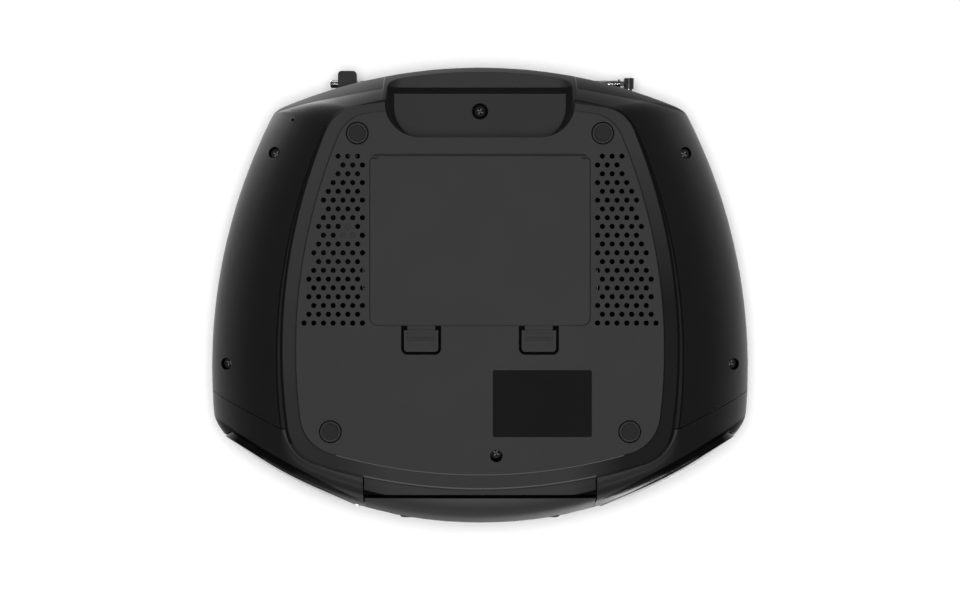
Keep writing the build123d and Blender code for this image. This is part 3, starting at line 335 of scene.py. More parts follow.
def slanted_zone(normal, near, far, inner_x, outer_x, low, high):
    def test(tree, place):
        folded = add(tree, "VectorMath", {0: place}, operation="ABSOLUTE").outputs[0]
        out = add(tree, "VectorMath", {0: folded, 1: normal}, operation="DOT_PRODUCT").outputs["Value"]
        parts = add(tree, "SeparateXYZ", {0: folded})
        wide = between(tree, parts.outputs[X_AXIS], inner_x, outer_x)
        tall = between(tree, parts.outputs[Z_AXIS], low, high)
        return both(tree, between(tree, out, near, far), both(tree, wide, tall))

    return test


print("a ring is sought within", FAR, "m")

# %% [markdown]
# ## Finishes of the cabinet
# Textured ABS scatters the light to an even dark grey, as on the base, the battery door and the handle
# bar. Satin ABS has a soft highlight that follows the bowl, and polished ABS mirrors the lamps on the
# wings and panel. The matt lip is a little paler. Two pale edge lines on the base are painted highlight,
# and the band is painted darker towards the front as shade. The steep walls next to the pad and at the
# rear, the foot of the band's step and the return by each speaker are painted dark as shade, and the
# inside of a moulding, its holes and grooves are painted near black as shade, so vents are black to look
# into.

# %% Finishes of the cabinet
textured = {"swatch": "#161617", "roughness": 0.77, "grain": 0.35, "uneven": 0.02}
satin = {"swatch": "#0e0e0f", "roughness": 0.42, "grain": 0.05, "uneven": 0.03}
polished = {"swatch": "#070708", "roughness": 0.12, "uneven": 0.02}
matt = {"swatch": "#1c1c1d", "roughness": 0.6, "grain": 0.15, "uneven": 0.02}
# Painted highlight: pale lines for the light caught on the front edges of the pad and the band.
painted_edge_highlight = {"swatch": "#484849", "roughness": 0.6, "uneven": 0.02}
# Painted shade: the band is darkened towards the front.
shadowed = {"swatch": "#101011", "roughness": 0.77, "grain": 0.35, "uneven": 0.02, "shine": 0.12}
# Painted shade: dark and weakly shiny, for the rear walls and the front beside the band.
painted_dim_shade = {"swatch": "#0b0b0c", "roughness": 0.6, "grain": 0.05, "uneven": 0.02, "shine": 0.25}
# Painted shade: the dark foot of the band's step.
painted_step_shade = {"swatch": "#070708", "roughness": 0.6, "uneven": 0.02, "shine": 0.1}
# Painted shade: dark and weakly shiny, so the return by each speaker shows no streak of the front lamp.
shade = {"swatch": "#050506", "roughness": 0.35, "uneven": 0.02, "shine": 0.08}
# Painted shade: near black and barely shiny, for insides, holes, grooves and slits where shade falls.
painted_hollow_shade = {"swatch": "#050505", "roughness": 0.9, "shine": 0.05}


def moulded(name, swatch, roughness, zones=(), **finish):
    material, tree = new_material(name)
    place = add(tree, "TexCoord").outputs["Object"]
    shader = plastic(tree, place, swatch, roughness, **finish)
    for test, zone_finish in zones:
        own = plastic(tree, place, **zone_finish)
        shader = add(tree, "MixShader", {0: test(tree, place), 1: shader, 2: own}).outputs[0]
    add(tree, "OutputMaterial", {"Surface": shader})
    return material


print("roughness from", polished["roughness"], "on the wings to", painted_hollow_shade["roughness"], "inside")

# %% [markdown]
# ## Zones of the base
# Heights are over the table, which the feet stand on. A band slopes up from the flat pad to 5.45 mm, and
# its side rises from there to the bowl at 9.4 mm. The band is painted darker towards the front on both
# sides, more so on the right of the picture, as painted shade. Two pale edge lines along the front of the
# pad and the band are painted highlight. The insides, holes, grooves and the slit by the lip are painted
# near black as shade. Later zones lie over earlier ones.

# %% Zones of the base
BAND_EDGE, BOWL_LEVEL = 5.45, 9.4
FEET = [(61.5, 80.8), (-61.5, 80.8), (75.0, -68.8), (-75.0, -68.8)]
SIDE_SCREWS = [(105.8, 72.9), (-105.8, 72.9), (131, -35.7), (-131, -35.7)]
FRONT_SCREW, POCKET_SCREW = (-8.2, -81), (0, 97)

# Painted shade: the band fades darker towards the front, on each side.
right_band = fading(box_zone((-110, -110, 2.1), (-40, 100, 10.5)), Y_AXIS, 75, -3)
left_band = fading(box_zone((40, -110, 2.1), (110, 100, 10.5)), Y_AXIS, 60, -185)
# Painted shade on the rear walls.
lip_slit = (even_box(60, -103, -101.2, 3, 50), painted_hollow_shade)
rear_walls = (slanted_zone((0.1696, 0.9855, 0), 111.5, 160, 49.5, 150, 9, 112), painted_dim_shade)
base_zones = {
    "bowl": (even_box(200, -200, 200, BOWL_LEVEL, 80), satin),
    "rear_walls": rear_walls,
    "finger_pocket": (even_box(49, 77, 130, -1, 61.5), textured),
    "inside": (even_box(89, -131.5, 76, 4.4, 80, BASE_BOW), painted_hollow_shade),
    "front_of_band": (even_box(95, -102, -40, 0, 10.5), textured),
    "right_of_band": (fading(right_band, X_AXIS, -45, -72), shadowed),
    "left_of_band": (fading(left_band, X_AXIS, 45, 72), shadowed),
    "side_of_band": (even_box(110, -75, 110, BAND_EDGE, BOWL_LEVEL + 1), painted_step_shade),
    "edge_of_pad": (even_box(72, -95, -72, 2.1, 2.9), painted_edge_highlight),
    "edge_of_band": (even_box(58.4, -102, -88, 5.5, 6.2), painted_edge_highlight),
    "lip_slit": lip_slit,
    "grooves_of_feet": (ring_zone(FEET, 5.06, 5.74, 2.05, 4), painted_hollow_shade),
    "screw_holes": (ring_zone(SIDE_SCREWS + [FRONT_SCREW], -1, 3.12, 2.3, 80), painted_hollow_shade),
    "pocket_hole": (ring_zone([POCKET_SCREW], -1, 4.33, 60.3, 80), painted_hollow_shade),
}
print("zones of the base", len(base_zones))

# %% [markdown]
# ## Zones of the deck and the front
# Seen through the vents, the deck's under side is 2.5 mm below its top. Four boxes fill the hollow of the
# deck without reaching its outer face, and paint it near black as shade. On the front, the side by the
# band, the inside behind the lip and the return next to each speaker surround, which would mirror the
# front lamp as a white streak, are painted dark as shade.

# %% Zones of the deck and the front
deck_zones = {
    "rear_walls": rear_walls,
    "sides_inside": (even_box(93, -55, 82, 60, 115), painted_hollow_shade),
    "shoulder_inside": (even_box(104, -60, 72, 60, 110.5), painted_hollow_shade),
    "edge_inside": (even_box(101, -60, 55, 60, 115), painted_hollow_shade),
    "middle_inside": (even_box(60, -85, 88, 60, 114.8), painted_hollow_shade),
}
front_zones = {
    "side_of_band": (even_box(110, -130, 0, 9, 10.2), painted_dim_shade),
    "behind_lip": (even_box(59.2, -112, -80, 5, 60), painted_hollow_shade),
    "speaker_edge": (slanted_zone((0.4648, 0.8854, 0), 120.6, 135, 58, 142, 8, 50), shade),
}
print("zones of the deck and front", len(deck_zones) + len(front_zones))

# %% [markdown]
# ## Materials of plastic, rubber and paper
# Each starts from a typical swatch and roughness. Powder coat and pressed paper have grains of their own
# size. Vinyl and oxidised steel throw back less light than moulded ABS, so their shine is lower. The
# boards and the transformer, which the vents look at, are painted near black and barely shiny as shade,
# so the vents look black.

# %% Materials of plastic, rubber and paper
finishes = {
    "textured_abs": moulded("spark_eroded_black_abs", **textured),
    "satin_abs": moulded("satin_black_abs", **satin),
    "gloss_abs": moulded("polished_black_abs", **polished),
    "button_abs": moulded("moulded_button_abs", "#121214", 0.30),
    "perforated_steel": moulded("powder_coated_steel", "#0e0e0f", 0.42, grain=0.2, grain_mm=0.4),
    "vinyl_label": moulded("black_vinyl", "#050505", 0.75, uneven=0.03, shine=0.12),
    "rubber": moulded("black_rubber", "#101010", 0.9, grain=0.3, grain_mm=0.9),
    "paper_cone": moulded("black_paper_pulp", "#101010", 0.85, grain=0.5, grain_mm=1.0),
    "black_acetal": moulded("black_acetal", "#0c0c0d", 0.35),
    "white_acetal": moulded("white_acetal", "#dcdad2", 0.35),
    # Painted shade: the boards are near black and barely shiny, so the vents look black.
    "circuit_board": moulded("board_painted_dark", "#030504", 0.7, shine=0.06),
    "ferrite": moulded("sintered_ferrite", "#1c1c1d", 0.6, grain=0.3, grain_mm=0.5),
    "black_steel": moulded("black_oxide_steel", "#030303", 0.6, shine=0.12),
    "lcd_glass": moulded("display_cell", "#5a6a58", 0.25),
}
own_finishes = {
    "bottom_cabinet": moulded("base_moulding", **textured, zones=base_zones.values()),
    "front_cabinet": moulded("front_moulding", **satin, zones=front_zones.values()),
    "front_lip": moulded("lip_moulding", **matt, zones=[lip_slit]),
    "top_cabinet": moulded("deck_moulding", **satin, zones=deck_zones.values()),
    # Painted shade: near black and barely shiny, so the vents look black.
    "transformer": moulded("laminations_painted_dark", "#020202", 0.7, shine=0.03),
    "mech_chassis": moulded("dull_black_acetal", "#0a0a0a", 0.7, shine=0.3),
}
print("plastics", len(finishes) + len(own_finishes))

# %% [markdown]
# ## Metals and clear pieces
# A metal has no colour under its shine, so its swatch is its mirror colour, and it keeps the default IOR.
# Zinc plate is cloudy, ground steel finely scratched and chrome nearly a mirror. The patches of their
# sheen are 0.8 mm across. The windows are smoked acrylic, which is clear and dark, and the laser's lens
# is coated glass. Their polish is uneven over 12 mm, which moulded sheet shows as a faint wave.

# %% Metals and clear pieces
METAL_PATCH_MM = 0.8
SHEET_WAVE_MM = 12
HAZE = 0.03


def metal(name, swatch, roughness, patchy):
    material, tree = new_material(name)
    place = add(tree, "TexCoord").outputs["Object"]
    patches = add(tree, "TexNoise", {"Vector": place, "Scale": 1 / (METAL_PATCH_MM * MM), "Detail": 3.0})
    sheen = {"To Min": roughness - patchy, "To Max": roughness + patchy}
    rough = add(tree, "MapRange", {"Value": patches.outputs["Fac"], **sheen})
    look = {"Base Color": linear(swatch), "Metallic": 1.0, "Roughness": rough.outputs["Result"]}
    shader = add(tree, "BsdfPrincipled", look)
    add(tree, "OutputMaterial", {"Surface": shader.outputs[0]})
    return material


def clear(name, swatch, roughness, ior):
    material, tree = new_material(name)
    place = add(tree, "TexCoord").outputs["Object"]
    wave = add(tree, "TexNoise", {"Vector": place, "Scale": 1 / (SHEET_WAVE_MM * MM), "Detail": 2.0})
    polish = {"To Min": roughness, "To Max": roughness + HAZE}
    rough = add(tree, "MapRange", {"Value": wave.outputs["Fac"], **polish})
    look = {"Base Color": linear(swatch), "IOR": ior, "Roughness": rough.outputs["Result"]}
    shader = add(tree, "BsdfPrincipled", {**look, "Transmission Weight": 1.0})
    add(tree, "OutputMaterial", {"Surface": shader.outputs[0]})
    return material


finishes.update({
    "steel_plate": metal("zinc_plated_steel", "#b8b9ba", 0.35, 0.08),
    "bright_steel": metal("ground_steel", "#c4c4c6", 0.25, 0.05),
    "chrome_brass": metal("chromed_brass", "#d6d7d9", 0.08, 0.02),
    "smoked_acrylic": clear("smoked_acrylic", "#3a3b40", 0.02, 1.49),
    "lens_glass": clear("coated_lens", "#6a70a0", 0.02, 1.52),
})
print("finishes", len(finishes))

# %% [markdown]
# ## Dressing the frame
# The frame's record names a material slot for every node. A node with zones, or one that the vents look
# at, takes a finish of its own instead; the transformer's is painted near black as shade. Only the slot
# changes, and the mesh stays as the frame has it.

# %% Dress the frame's nodes
slot_of = {part["node"]: part["material_slot"] for part in frame["record"]["subparts"]}
for name, node in frame["nodes"].items():
    node.material_slots[0].material = own_finishes.get(name) or finishes[slot_of[name]]
print("dressed", len(slot_of))

# %% [markdown]
# ## Outlines, plates and rings
# Small parts are built with mesh operators: an outline is pushed up into a plate, and a profile is spun
# into a ring. That keeps each part as a few named sizes, where a modelled block would hide them. Lengths
# are in millimetres until the last step.

# %% Outlines, plates and rings
def rectangle(width, height, x=0.0, y=0.0):
    return [(x + a * width / 2, y + b * height / 2) for a, b in ((-1, -1), (1, -1), (1, 1), (-1, 1))]


def arrow(width, height, x):
    return [(x - width / 2, -height / 2), (x + width / 2, 0), (x - width / 2, height / 2)]


def plate(points, low, high):
    bm = bmesh.new()
    face = bm.faces.new([bm.verts.new((x, y, low)) for x, y in points])
    pushed = bmesh.ops.extrude_face_region(bm, geom=[face])
    tops = [v for v in pushed["geom"] if isinstance(v, bmesh.types.BMVert)]
    bmesh.ops.translate(bm, verts=tops, vec=(0, 0, high - low))
    return bm


def lathe(profile, steps=48):
    bm = bmesh.new()
    verts = [bm.verts.new((radius, 0, height)) for radius, height in profile]
    edges = [bm.edges.new(pair) for pair in zip(verts, verts[1:])]
    bmesh.ops.spin(
        bm, geom=verts + edges, axis=(0, 0, 1), cent=(0, 0, 0), angle=math.tau, steps=steps, use_merge=True
    )
    return bm


print("a plate's outline", rectangle(2, 1))

# %% [markdown]
# ## Pieces
# A piece is one or more of those shapes, each moved to its place by a matrix, scaled to metres and
# welded. Spinning can turn a shape inside out, so its normals are worked out again once its doubles are
# merged. An edge that turns less than the crease angle is shaded smooth. Every piece rides on a body of
# the frame. A bright and a dark paint serve all printed marks.

# %% Pieces
WELD = 1e-6


def gather(parts):
    whole = bmesh.new()
    for bm, matrix in parts:
        mesh = bpy.data.meshes.new("part")
        bm.to_mesh(mesh)
        bm.free()
        mesh.transform(matrix)
        whole.from_mesh(mesh)
        bpy.data.meshes.remove(mesh)
    return whole


def at(x=0.0, y=0.0, turn=0.0):
    return Matrix.Translation((x, y, 0)) @ Matrix.Rotation(turn, 4, "Z")


def piece(name, parts, material, body, stands_for=(), crease=0.5):
    bm = gather(parts)
    bmesh.ops.scale(bm, verts=bm.verts, vec=(MM, MM, MM))
    bmesh.ops.remove_doubles(bm, verts=bm.verts, dist=WELD)
    bmesh.ops.recalc_face_normals(bm, faces=bm.faces)
    for face in bm.faces:
        face.smooth = True
    for edge in bm.edges:
        edge.smooth = edge.calc_face_angle(0.0) < crease
    mesh = bpy.data.meshes.new(name)
    bm.to_mesh(mesh)
    bm.free()
    mesh.materials.append(material)
    made = bpy.data.objects.new(name, mesh)
    bpy.context.scene.collection.objects.link(made)
    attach(made, body)
    if stands_for:
        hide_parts(*stands_for)
    return made


def millimetres(node):
    return [Vector(corner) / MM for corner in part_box(node)]


white_paint = moulded("white_paint", "#c9c9c7", 0.6)
dark_ink = moulded("dark_ink", "#0b0d0b", 0.7)
print("paints", [paint.name for paint in (white_paint, dark_ink)])

# %% [markdown]
# ## Frames of the speakers and the panel
# The speakers look out and to the sides, the control panel leans back a little. Each has a frame of its
# own, with x along the face, y up it and z out of it, so that the same parts serve both speakers.

# %% Frames
SPEAKER = Vector((96.5, -90.1, 60.0))
SPEAKER_YAW = math.radians(27.7)
PANEL = Vector((0.0, -114.4, 64.5))
PANEL_LEAN = math.radians(6.0)
SIDES = (("right", 1), ("left", -1))


def speaker_frame(sign):
    upright = Matrix.Rotation(math.pi / 2, 4, "X")
    turned = Matrix.Rotation(sign * SPEAKER_YAW, 4, "Z")
    return Matrix.Translation((sign * SPEAKER.x, SPEAKER.y, SPEAKER.z)) @ turned @ upright


panel_frame = Matrix.Translation(PANEL) @ Matrix.Rotation(math.pi / 2 - PANEL_LEAN, 4, "X")
print("speaker axis", [round(v, 2) for v in speaker_frame(1).col[2][:3]])

# %% [markdown]
# ## Grilles
# Each grille is a steel dome punched with a honeycomb of holes, in a rolled rim. One cell is a hexagon
# with a smaller one cut out of it, and the cells of a row stand half a step off those of the next.
# Cutting hundreds of holes with a boolean would be slow, so the web between them is what is made: inset
# each cell, drop its middle, weld the rest, lift it onto the dome and give the sheet its thickness.

# %% Punch the honeycomb
GRILLE_RADIUS = 33.0
GRILLE_DOME = 6.0
GRILLE_SEAT = 0.6
CELL = 2.7
WEB = 0.42
SHEET = 0.5
SHEET_MARGIN = 1.5
EDGE_SHARE = 0.2
JOIN = 0.01


def dome_height(x, y):
    radius = (GRILLE_RADIUS**2 + GRILLE_DOME**2) / (2 * GRILLE_DOME)
    return GRILLE_SEAT + GRILLE_DOME - radius + math.sqrt(radius**2 - x * x - y * y)


def hexagon(bm, x, y):
    place = Matrix.Translation((x, y, 0))
    bmesh.ops.create_circle(bm, cap_ends=True, segments=6, radius=CELL / math.sqrt(3), matrix=place)


def honeycomb(radius):
    bm = bmesh.new()
    step = CELL * math.sqrt(3) / 2
    rows = int(radius / step)
    columns = int(radius / CELL) + 1
    for row in range(-rows, rows + 1):
        for column in range(-columns, columns + 1):
            x, y = (column + (row % 2) / 2) * CELL, row * step
            if math.hypot(x, y) < radius - CELL * EDGE_SHARE:
                hexagon(bm, x, y)
    cells = bm.faces[:]
    bmesh.ops.inset_individual(bm, faces=cells, thickness=WEB)
    bmesh.ops.delete(bm, geom=cells, context="FACES")
    bmesh.ops.remove_doubles(bm, verts=bm.verts, dist=JOIN)
    for vert in bm.verts:
        vert.co.z = dome_height(vert.co.x, vert.co.y)
    bmesh.ops.recalc_face_normals(bm, faces=bm.faces)
    bmesh.ops.solidify(bm, geom=bm.faces[:], thickness=SHEET)
    return bm


print("dome rises", round(dome_height(0, 0) - dome_height(GRILLE_RADIUS, 0), 2), "mm")

# %% [markdown]
# The rim is a profile spun round the speaker's axis. It is rolled over the sheet's edge in front, and a
# skirt behind it goes into the surround.

# %% Fit the grilles
RIM_INNER, SKIRT_DEPTH = 30.4, -2.5
rim_profile = [
    (RIM_INNER, 0.3), (RIM_INNER, 1.2), (31.2, 1.8), (32.3, 1.7), (GRILLE_RADIUS, 0.9),
    (GRILLE_RADIUS, SKIRT_DEPTH), (32, SKIRT_DEPTH), (32, 0.3), (RIM_INNER, 0.3),
]
for side, sign in SIDES:
    place = speaker_frame(sign)
    parts = [(honeycomb(GRILLE_RADIUS - SHEET_MARGIN), place), (lathe(rim_profile, 72), place)]
    made = piece(side + "_grille_mesh", parts, finishes["perforated_steel"], "cabinet", [side + "_grille"])
    print(made.name, len(made.data.polygons), "faces")

# %% [markdown]
# ## Speaker cones
# A paper cone flares out from the dust cap with a few pressed ribs, and a half-round rubber surround
# holds its edge. Both are lathe work: one profile each, spun round the speaker's axis.

# %% Turn the cones and surrounds
CONE_RADIUS = 28.5
CONE_DEPTH = 10.0
CONE_BACK = -7.2
NECK_RADIUS, BACK_RADIUS = 10, 11
CONE_STEPS = 9
RIB_HEIGHT = 0.25
PAPER, BACK = 0.7, 0.6
BOW_RADIUS = 1.3
BOW_OUT, BOW_RISE = 1.6, 1.4
BOW_STEPS = 8
RUBBER = 0.4


def cone_profile():
    floor = CONE_BACK - CONE_DEPTH
    cap = [(0, CONE_BACK + 1.0), (4, CONE_BACK + 0.4), (8, CONE_BACK - 1.4), (NECK_RADIUS, floor + 2.6)]
    flare = []
    for step in range(1, CONE_STEPS + 1):
        share = step / CONE_STEPS
        rise = CONE_DEPTH * share**0.85
        rib = RIB_HEIGHT * (step % 2)
        flare.append((NECK_RADIUS + (CONE_RADIUS - NECK_RADIUS) * share, floor + rise + rib))
    return cap + flare + [(CONE_RADIUS, CONE_BACK - PAPER), (BACK_RADIUS, floor - BACK), (0, floor - BACK)]


def surround_profile():
    angles = [math.pi * step / BOW_STEPS for step in range(BOW_STEPS + 1)]
    bow = [(CONE_RADIUS + BOW_OUT - BOW_RADIUS * math.cos(a), BOW_RADIUS * math.sin(a)) for a in angles]
    outer = [(radius, CONE_BACK + BOW_RISE + height) for radius, height in bow]
    return outer + [(radius, height - RUBBER) for radius, height in reversed(outer)] + outer[:1]


for side, sign in SIDES:
    place = speaker_frame(sign)
    cone = [(lathe(cone_profile(), 64), place)]
    body, node = "speaker_cone_" + side, side + "_speaker_cone"
    piece(side + "_paper_cone", cone, finishes["paper_cone"], body, [node], crease=1.2)
    surround = [(lathe(surround_profile(), 64), place)]
    piece(side + "_cone_surround", surround, finishes["rubber"], "cabinet")
print("cone points", len(cone_profile()))

# %% [markdown]
# ## Feet
# Four rubber pads are pressed into recesses of the base. Their edge is rounded and their sole is slightly
# hollow. The frame's feet give the heights, and the same four places that their grooves have give the
# rest.

# %% Press in the feet
FOOT_RADIUS = 4.15
feet_low, feet_high = millimetres("feet")
sole, top = feet_low.z, feet_high.z
foot_profile = [
    (0, sole + 0.15), (2.6, sole + 0.1), (3.4, sole), (FOOT_RADIUS - 0.3, sole + 0.12),
    (FOOT_RADIUS, sole + 0.5), (FOOT_RADIUS, top), (0, top),
]
parts = [(lathe(foot_profile, 40), at(x, y)) for x, y in FEET]
piece("rubber_pads", parts, finishes["rubber"], "cabinet", ["feet"])
print("feet", len(parts))

# %% [markdown]
# ## Screw heads
# Each black screw head has a cross recess, whose edges catch the light at the bottom of its hole. Two
# thin grey bars that stand 0.06 mm out of the head are a painted highlight for that, since a pixel covers
# half a millimetre.

# %% Cross the screw heads
BAR_LENGTH, BAR_WIDTH = 3.3, 0.55
BAR_PROUD, BAR_SUNK = 0.06, 0.5
DRIVEN_TURN = 0.5
HEAD_LEVELS = [40.1, 40.1, 48.1, 48.1, 60.2, 24.2]
parts = []
for (x, y), level in zip(SIDE_SCREWS + [POCKET_SCREW, FRONT_SCREW], HEAD_LEVELS):
    for size in ((BAR_LENGTH, BAR_WIDTH), (BAR_WIDTH, BAR_LENGTH)):
        parts.append((plate(rectangle(*size), level - BAR_PROUD, level + BAR_SUNK), at(x, y, DRIVEN_TURN)))
# Painted highlight: grey bars for the light caught by the cross recess.
piece("screw_crosses", parts, moulded("painted_cross_highlight", "#4a4a4b", 0.55), "cabinet")
print("screw heads", len(HEAD_LEVELS))

# %% [markdown]
# ## Latch marks
# Each tongue of the battery door has two short ribs for the fingertip and a small raised arrow that
# points at the door. They are plates a little proud of the tongue, and slide with it.

# %% Mark the latches
ARROW_OFFSET, ARROW_RISE = -5.2, 2.6
RIB_LENGTH, RIB_WIDTH = 12.4, 0.35
RIB_RISES = (6.6, 7.3)
MARK_PROUD, MARK_SUNK = 0.15, 0.3
for side, _ in SIDES:
    low, high = millimetres("battery_latch_" + side)
    centre = (low.x + high.x) / 2
    pointer = [(-1.9, 0), (1.9, 0), (0, 2.2)]
    outlines = [[(centre + ARROW_OFFSET + x, low.y + ARROW_RISE + y) for x, y in pointer]]
    outlines += [rectangle(RIB_LENGTH, RIB_WIDTH, centre, low.y + y) for y in RIB_RISES]
    parts = [(plate(outline, low.z - MARK_PROUD, low.z + MARK_SUNK), at()) for outline in outlines]
    piece("latch_marks_" + side, parts, finishes["textured_abs"], "latch_" + side)
print("latch marks at", round(low.z, 2), "mm")

# %% [markdown]
# ## Button marks
# Every key has the usual sign of its job in white paint: play and pause, the track before and after,
# stop, a dot in a ring for the source, and minus and plus for tuning. First come the outlines that they
# share.

# %% Signs of the keys
DOT_STEPS = 24


def bars(*places):
    return [rectangle(*place) for place in places]


def dot(radius):
    angles = [math.tau * step / DOT_STEPS for step in range(DOT_STEPS)]
    return [(radius * math.cos(a), radius * math.sin(a)) for a in angles]


def annulus(inner, outer, low, high):
    return lathe([(inner, low), (outer, low), (outer, high), (inner, high), (inner, low)], 32)


def backward(outline):
    return [(-x, y) for x, y in reversed(outline)]


double = [arrow(2.4, 3.2, x) for x in (-1.2, 1.2)]
signs = {
    "play": [arrow(3.4, 4.0, -1.6)] + bars((0.8, 4.0, 1.4, 0), (0.8, 4.0, 3.0, 0)),
    "previous": [backward(outline) for outline in double] + bars((0.6, 3.2, -2.8, 0)),
    "next": double + bars((0.6, 3.2, 2.8, 0)),
    "stop": bars((2.8, 2.8)),
    "source": [dot(0.7)],
    "tuning_down": bars((3.2, 0.7)),
    "tuning_up": bars((3.2, 0.7), (0.7, 1.25, 0, 0.97), (0.7, 1.25, 0, -0.97)),
}
print("signs", len(signs))

# %% [markdown]
# The panel bulges, so a key's face lies further back the further it is from the middle: a circle's height
# gives how far. The paint is about a tenth of a millimetre thick, half of it in the key, so that no gap
# shows.

# %% Print the button marks
PANEL_RADIUS = 222.0
BUTTON_PROUD = 1.2
PAINT_SUNK, PAINT_PROUD = 0.05, 0.06
UPPER_ROW, LOWER_ROW = -5.5, -20.5
key_places = {
    "play": (0, UPPER_ROW),
    "previous": (-23.5, UPPER_ROW),
    "next": (23.5, UPPER_ROW),
    "stop": (-33, LOWER_ROW),
    "source": (-11, LOWER_ROW),
    "tuning_down": (11, LOWER_ROW),
    "tuning_up": (33, LOWER_ROW),
}
for name, (x, y) in key_places.items():
    face = BUTTON_PROUD - PANEL_RADIUS + math.sqrt(PANEL_RADIUS**2 - x * x)
    low, high = face - PAINT_SUNK, face + PAINT_PROUD
    shapes = [plate(outline, low, high) for outline in signs[name]]
    if name == "source":
        shapes.append(annulus(1.5, 1.9, low, high))
    piece(name + "_mark", [(bm, panel_frame @ at(x, y)) for bm in shapes], white_paint, name + "_key")
print("marks", len(key_places))

# %% [markdown]
# ## Display
# The reflective cell shows a track number and a time in seven-segment digits, each segment a dark bar.
# The letters name the segments clockwise from the top, with g in the middle, as makers of displays do.

# %% Set the digits
DIGIT_WIDTH, DIGIT_HEIGHT, SEGMENT = 4.0, 7.4, 0.8
DISPLAY_RISE = 16.0
CELL_FACE, SEGMENT_FACE = -2.99, -2.93
COLON, COLON_SIZE = (8.75, 1.6), 0.9
SEGMENTS = {"0": "abcdef", "2": "abged", "3": "abgcd", "5": "afgcd", "7": "abc"}
READING = (("0", -20), ("5", -13.5), ("0", -2), ("3", 4.5), ("2", 13), ("7", 19.5))


def digit(character, x):
    half_w, half_h = DIGIT_WIDTH / 2, DIGIT_HEIGHT / 2
    level = (DIGIT_WIDTH - SEGMENT, SEGMENT)
    upright = (SEGMENT, half_h - SEGMENT)
    places = {
        "a": (*level, x, half_h), "g": (*level, x, 0), "d": (*level, x, -half_h),
        "b": (*upright, x + half_w, half_h / 2), "c": (*upright, x + half_w, -half_h / 2),
        "f": (*upright, x - half_w, half_h / 2), "e": (*upright, x - half_w, -half_h / 2),
    }
    return [rectangle(*places[letter]) for letter in SEGMENTS[character]]


shapes = [bar for character, x in READING for bar in digit(character, x)]
shapes += [rectangle(COLON_SIZE, COLON_SIZE, COLON[0], sign * COLON[1]) for sign in (1, -1)]
parts = [(plate(outline, CELL_FACE, SEGMENT_FACE), panel_frame @ at(0, DISPLAY_RISE)) for outline in shapes]
piece("display_digits", parts, dark_ink, "cabinet")
print("bars on the display", len(parts))

# %% [markdown]
# ## Deck marks
# The knob has a white pointer, the deck has a fine scale round it whose ticks grow with the volume, and
# the power key has its ring and stroke. Everything is placed by the boxes of the knob, the key and the
# deck.

# %% Mark the knob and its scale
POINTER_WIDTH, POINTER_LENGTH, POINTER_OUT = 1.1, 5.5, 8.4
POINTER_SUNK, POINTER_PROUD = 0.1, 0.12
TICK_WIDTH, TICK_LENGTH, TICK_GROWTH = 0.7, 1.2, 0.12
SCALE_RADIUS = 16.4
SCALE_STEPS = 10
SCALE_END, SCALE_STEP = 150, 30
knob_low, knob_high = millimetres("volume_knob")
knob = (knob_low + knob_high) / 2
deck = millimetres("top_cabinet")[1].z
stroke = rectangle(POINTER_WIDTH, POINTER_LENGTH, knob.x, knob.y + POINTER_OUT)
pointer = plate(stroke, knob_high.z - POINTER_SUNK, knob_high.z + POINTER_PROUD)
piece("knob_pointer", [(pointer, at())], white_paint, "volume")
ticks = []
for step in range(SCALE_STEPS + 1):
    turn = math.radians(SCALE_END - SCALE_STEP * step)
    tick = rectangle(TICK_WIDTH, TICK_LENGTH + TICK_GROWTH * step, 0, SCALE_RADIUS)
    ticks.append((plate(tick, deck - PAINT_SUNK, deck + PAINT_PROUD), at(knob.x, knob.y, turn)))
piece("volume_scale", ticks, white_paint, "cabinet")
print("deck at", round(deck, 1), "mm, ticks", len(ticks))

# %% [markdown]
# The power sign's ring is open at the rear for the stroke, so it is made of short bars that turn round
# the key.

# %% Mark the power key
RING_RADIUS = 2.7
RING_BARS = 20
RING_BAR = (0.85, 0.75)
RING_START, RING_SWEEP = 35, 290
STROKE_WIDTH, STROKE_LENGTH, STROKE_OUT = 0.8, 3.0, 1.8
power_low, power_high = millimetres("power_button")
power = (power_low + power_high) / 2
low, high = power_high.z - PAINT_SUNK, power_high.z + PAINT_PROUD
stroke = rectangle(STROKE_WIDTH, STROKE_LENGTH, power.x, power.y + STROKE_OUT)
parts = [(plate(stroke, low, high), at())]
for step in range(RING_BARS):
    turn = math.radians(RING_START + RING_SWEEP * step / (RING_BARS - 1))
    parts.append((plate(rectangle(*RING_BAR, 0, RING_RADIUS), low, high), at(power.x, power.y, turn)))
piece("power_mark", parts, white_paint, "power_key")
print("bars of the power sign", len(parts))

# %% [markdown]
# ## Battery contacts
# The plate at one end of each row has a conical spring of nickel-plated wire, the other a pressed stud.
# Spin can climb as it turns, but it can't narrow, so the wire's rings of six points follow the helix by
# its formula, and are joined to a tube.

# %% Wind a spring
SPRING_TURNS, SPRING_LENGTH = 4.0, 6.0
SPRING_FOOT, SPRING_TAPER = 5.0, 2.6
STEPS_PER_TURN = 20
WIRE = 0.4
WIRE_SIDES = 6


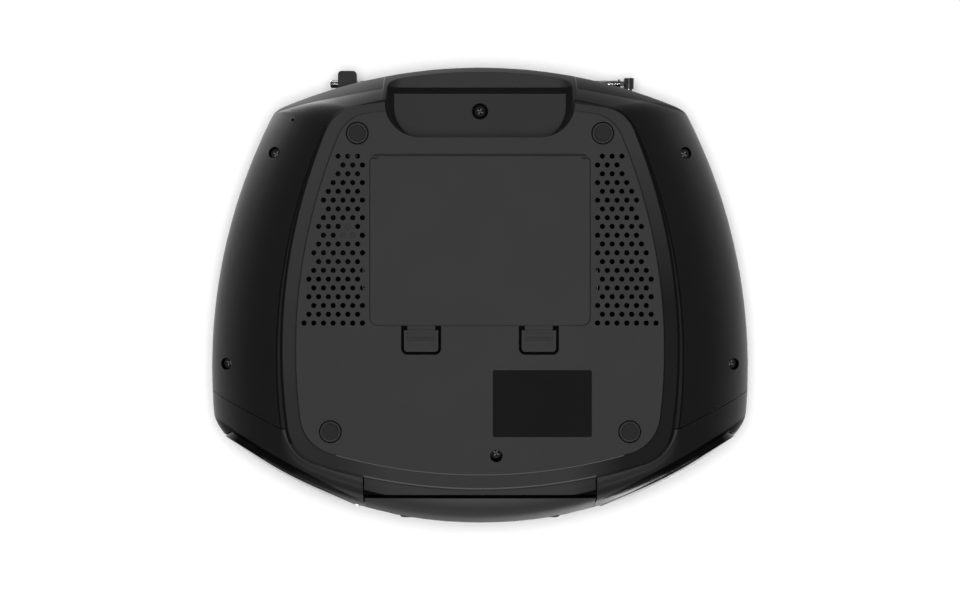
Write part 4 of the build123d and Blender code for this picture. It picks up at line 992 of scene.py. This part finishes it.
def spring():
    bm = bmesh.new()
    steps = int(SPRING_TURNS * STEPS_PER_TURN)
    around = [math.tau * k / WIRE_SIDES for k in range(WIRE_SIDES)]
    up = Vector((0, 0, 1))
    loops = []
    for step in range(steps + 1):
        share = step / steps
        angle = math.tau * SPRING_TURNS * share
        across = Vector((math.cos(angle), math.sin(angle), 0))
        centre = across * (SPRING_FOOT - SPRING_TAPER * share) + up * SPRING_LENGTH * share
        ring = [centre + (across * math.cos(a) + up * math.sin(a)) * WIRE for a in around]
        loops.append([bm.verts.new(point) for point in ring])
    for near, far in zip(loops, loops[1:]):
        for k in range(WIRE_SIDES):
            bm.faces.new((near[k], near[k - 1], far[k - 1], far[k]))
    bm.faces.new(loops[0])
    bm.faces.new(loops[-1])
    return bm


print("spring of", SPRING_TURNS, "turns,", SPRING_LENGTH, "mm long")

# %% [markdown]
# Cells lie in three rows behind the door, each turned round against the next, so springs and studs take
# turns.

# %% Fit the contacts
CELL_PITCH = 26.2
DOOR_Y = 27.3
ROWS = 3
CONTACT_WIDTH, CONTACT_HEIGHT, CONTACT_SHEET = 14, 12, 0.5
stud_profile = [(0, 1.6), (2.4, 1.5), (3.2, 0.6), (3.6, 0), (0, 0)]
contacts_low, contacts_high = millimetres("battery_contacts")
contact_z = (contacts_low.z + contacts_high.z) / 2
faces_x = {1: contacts_high.x - CONTACT_SHEET, -1: contacts_low.x + CONTACT_SHEET}
plates, springs = [], []
for row in range(ROWS):
    y = DOOR_Y + (row - ROWS // 2) * CELL_PITCH
    for sign, face_x in faces_x.items():
        inward = Matrix.Translation((face_x, y, contact_z)) @ Matrix.Rotation(-sign * math.pi / 2, 4, "Y")
        plates.append((plate(rectangle(CONTACT_WIDTH, CONTACT_HEIGHT), -CONTACT_SHEET, 0), inward))
        if sign * (-1) ** row > 0:
            springs.append((spring(), inward))
        else:
            plates.append((lathe(stud_profile, 24), inward))
nickel = metal("nickel_plated_wire", "#c8c4b8", 0.2, 0.05)
piece("contact_plates", plates, nickel, "cabinet", ["battery_contacts"])
piece("contact_springs", springs, nickel, "cabinet")
print("springs", len(springs))
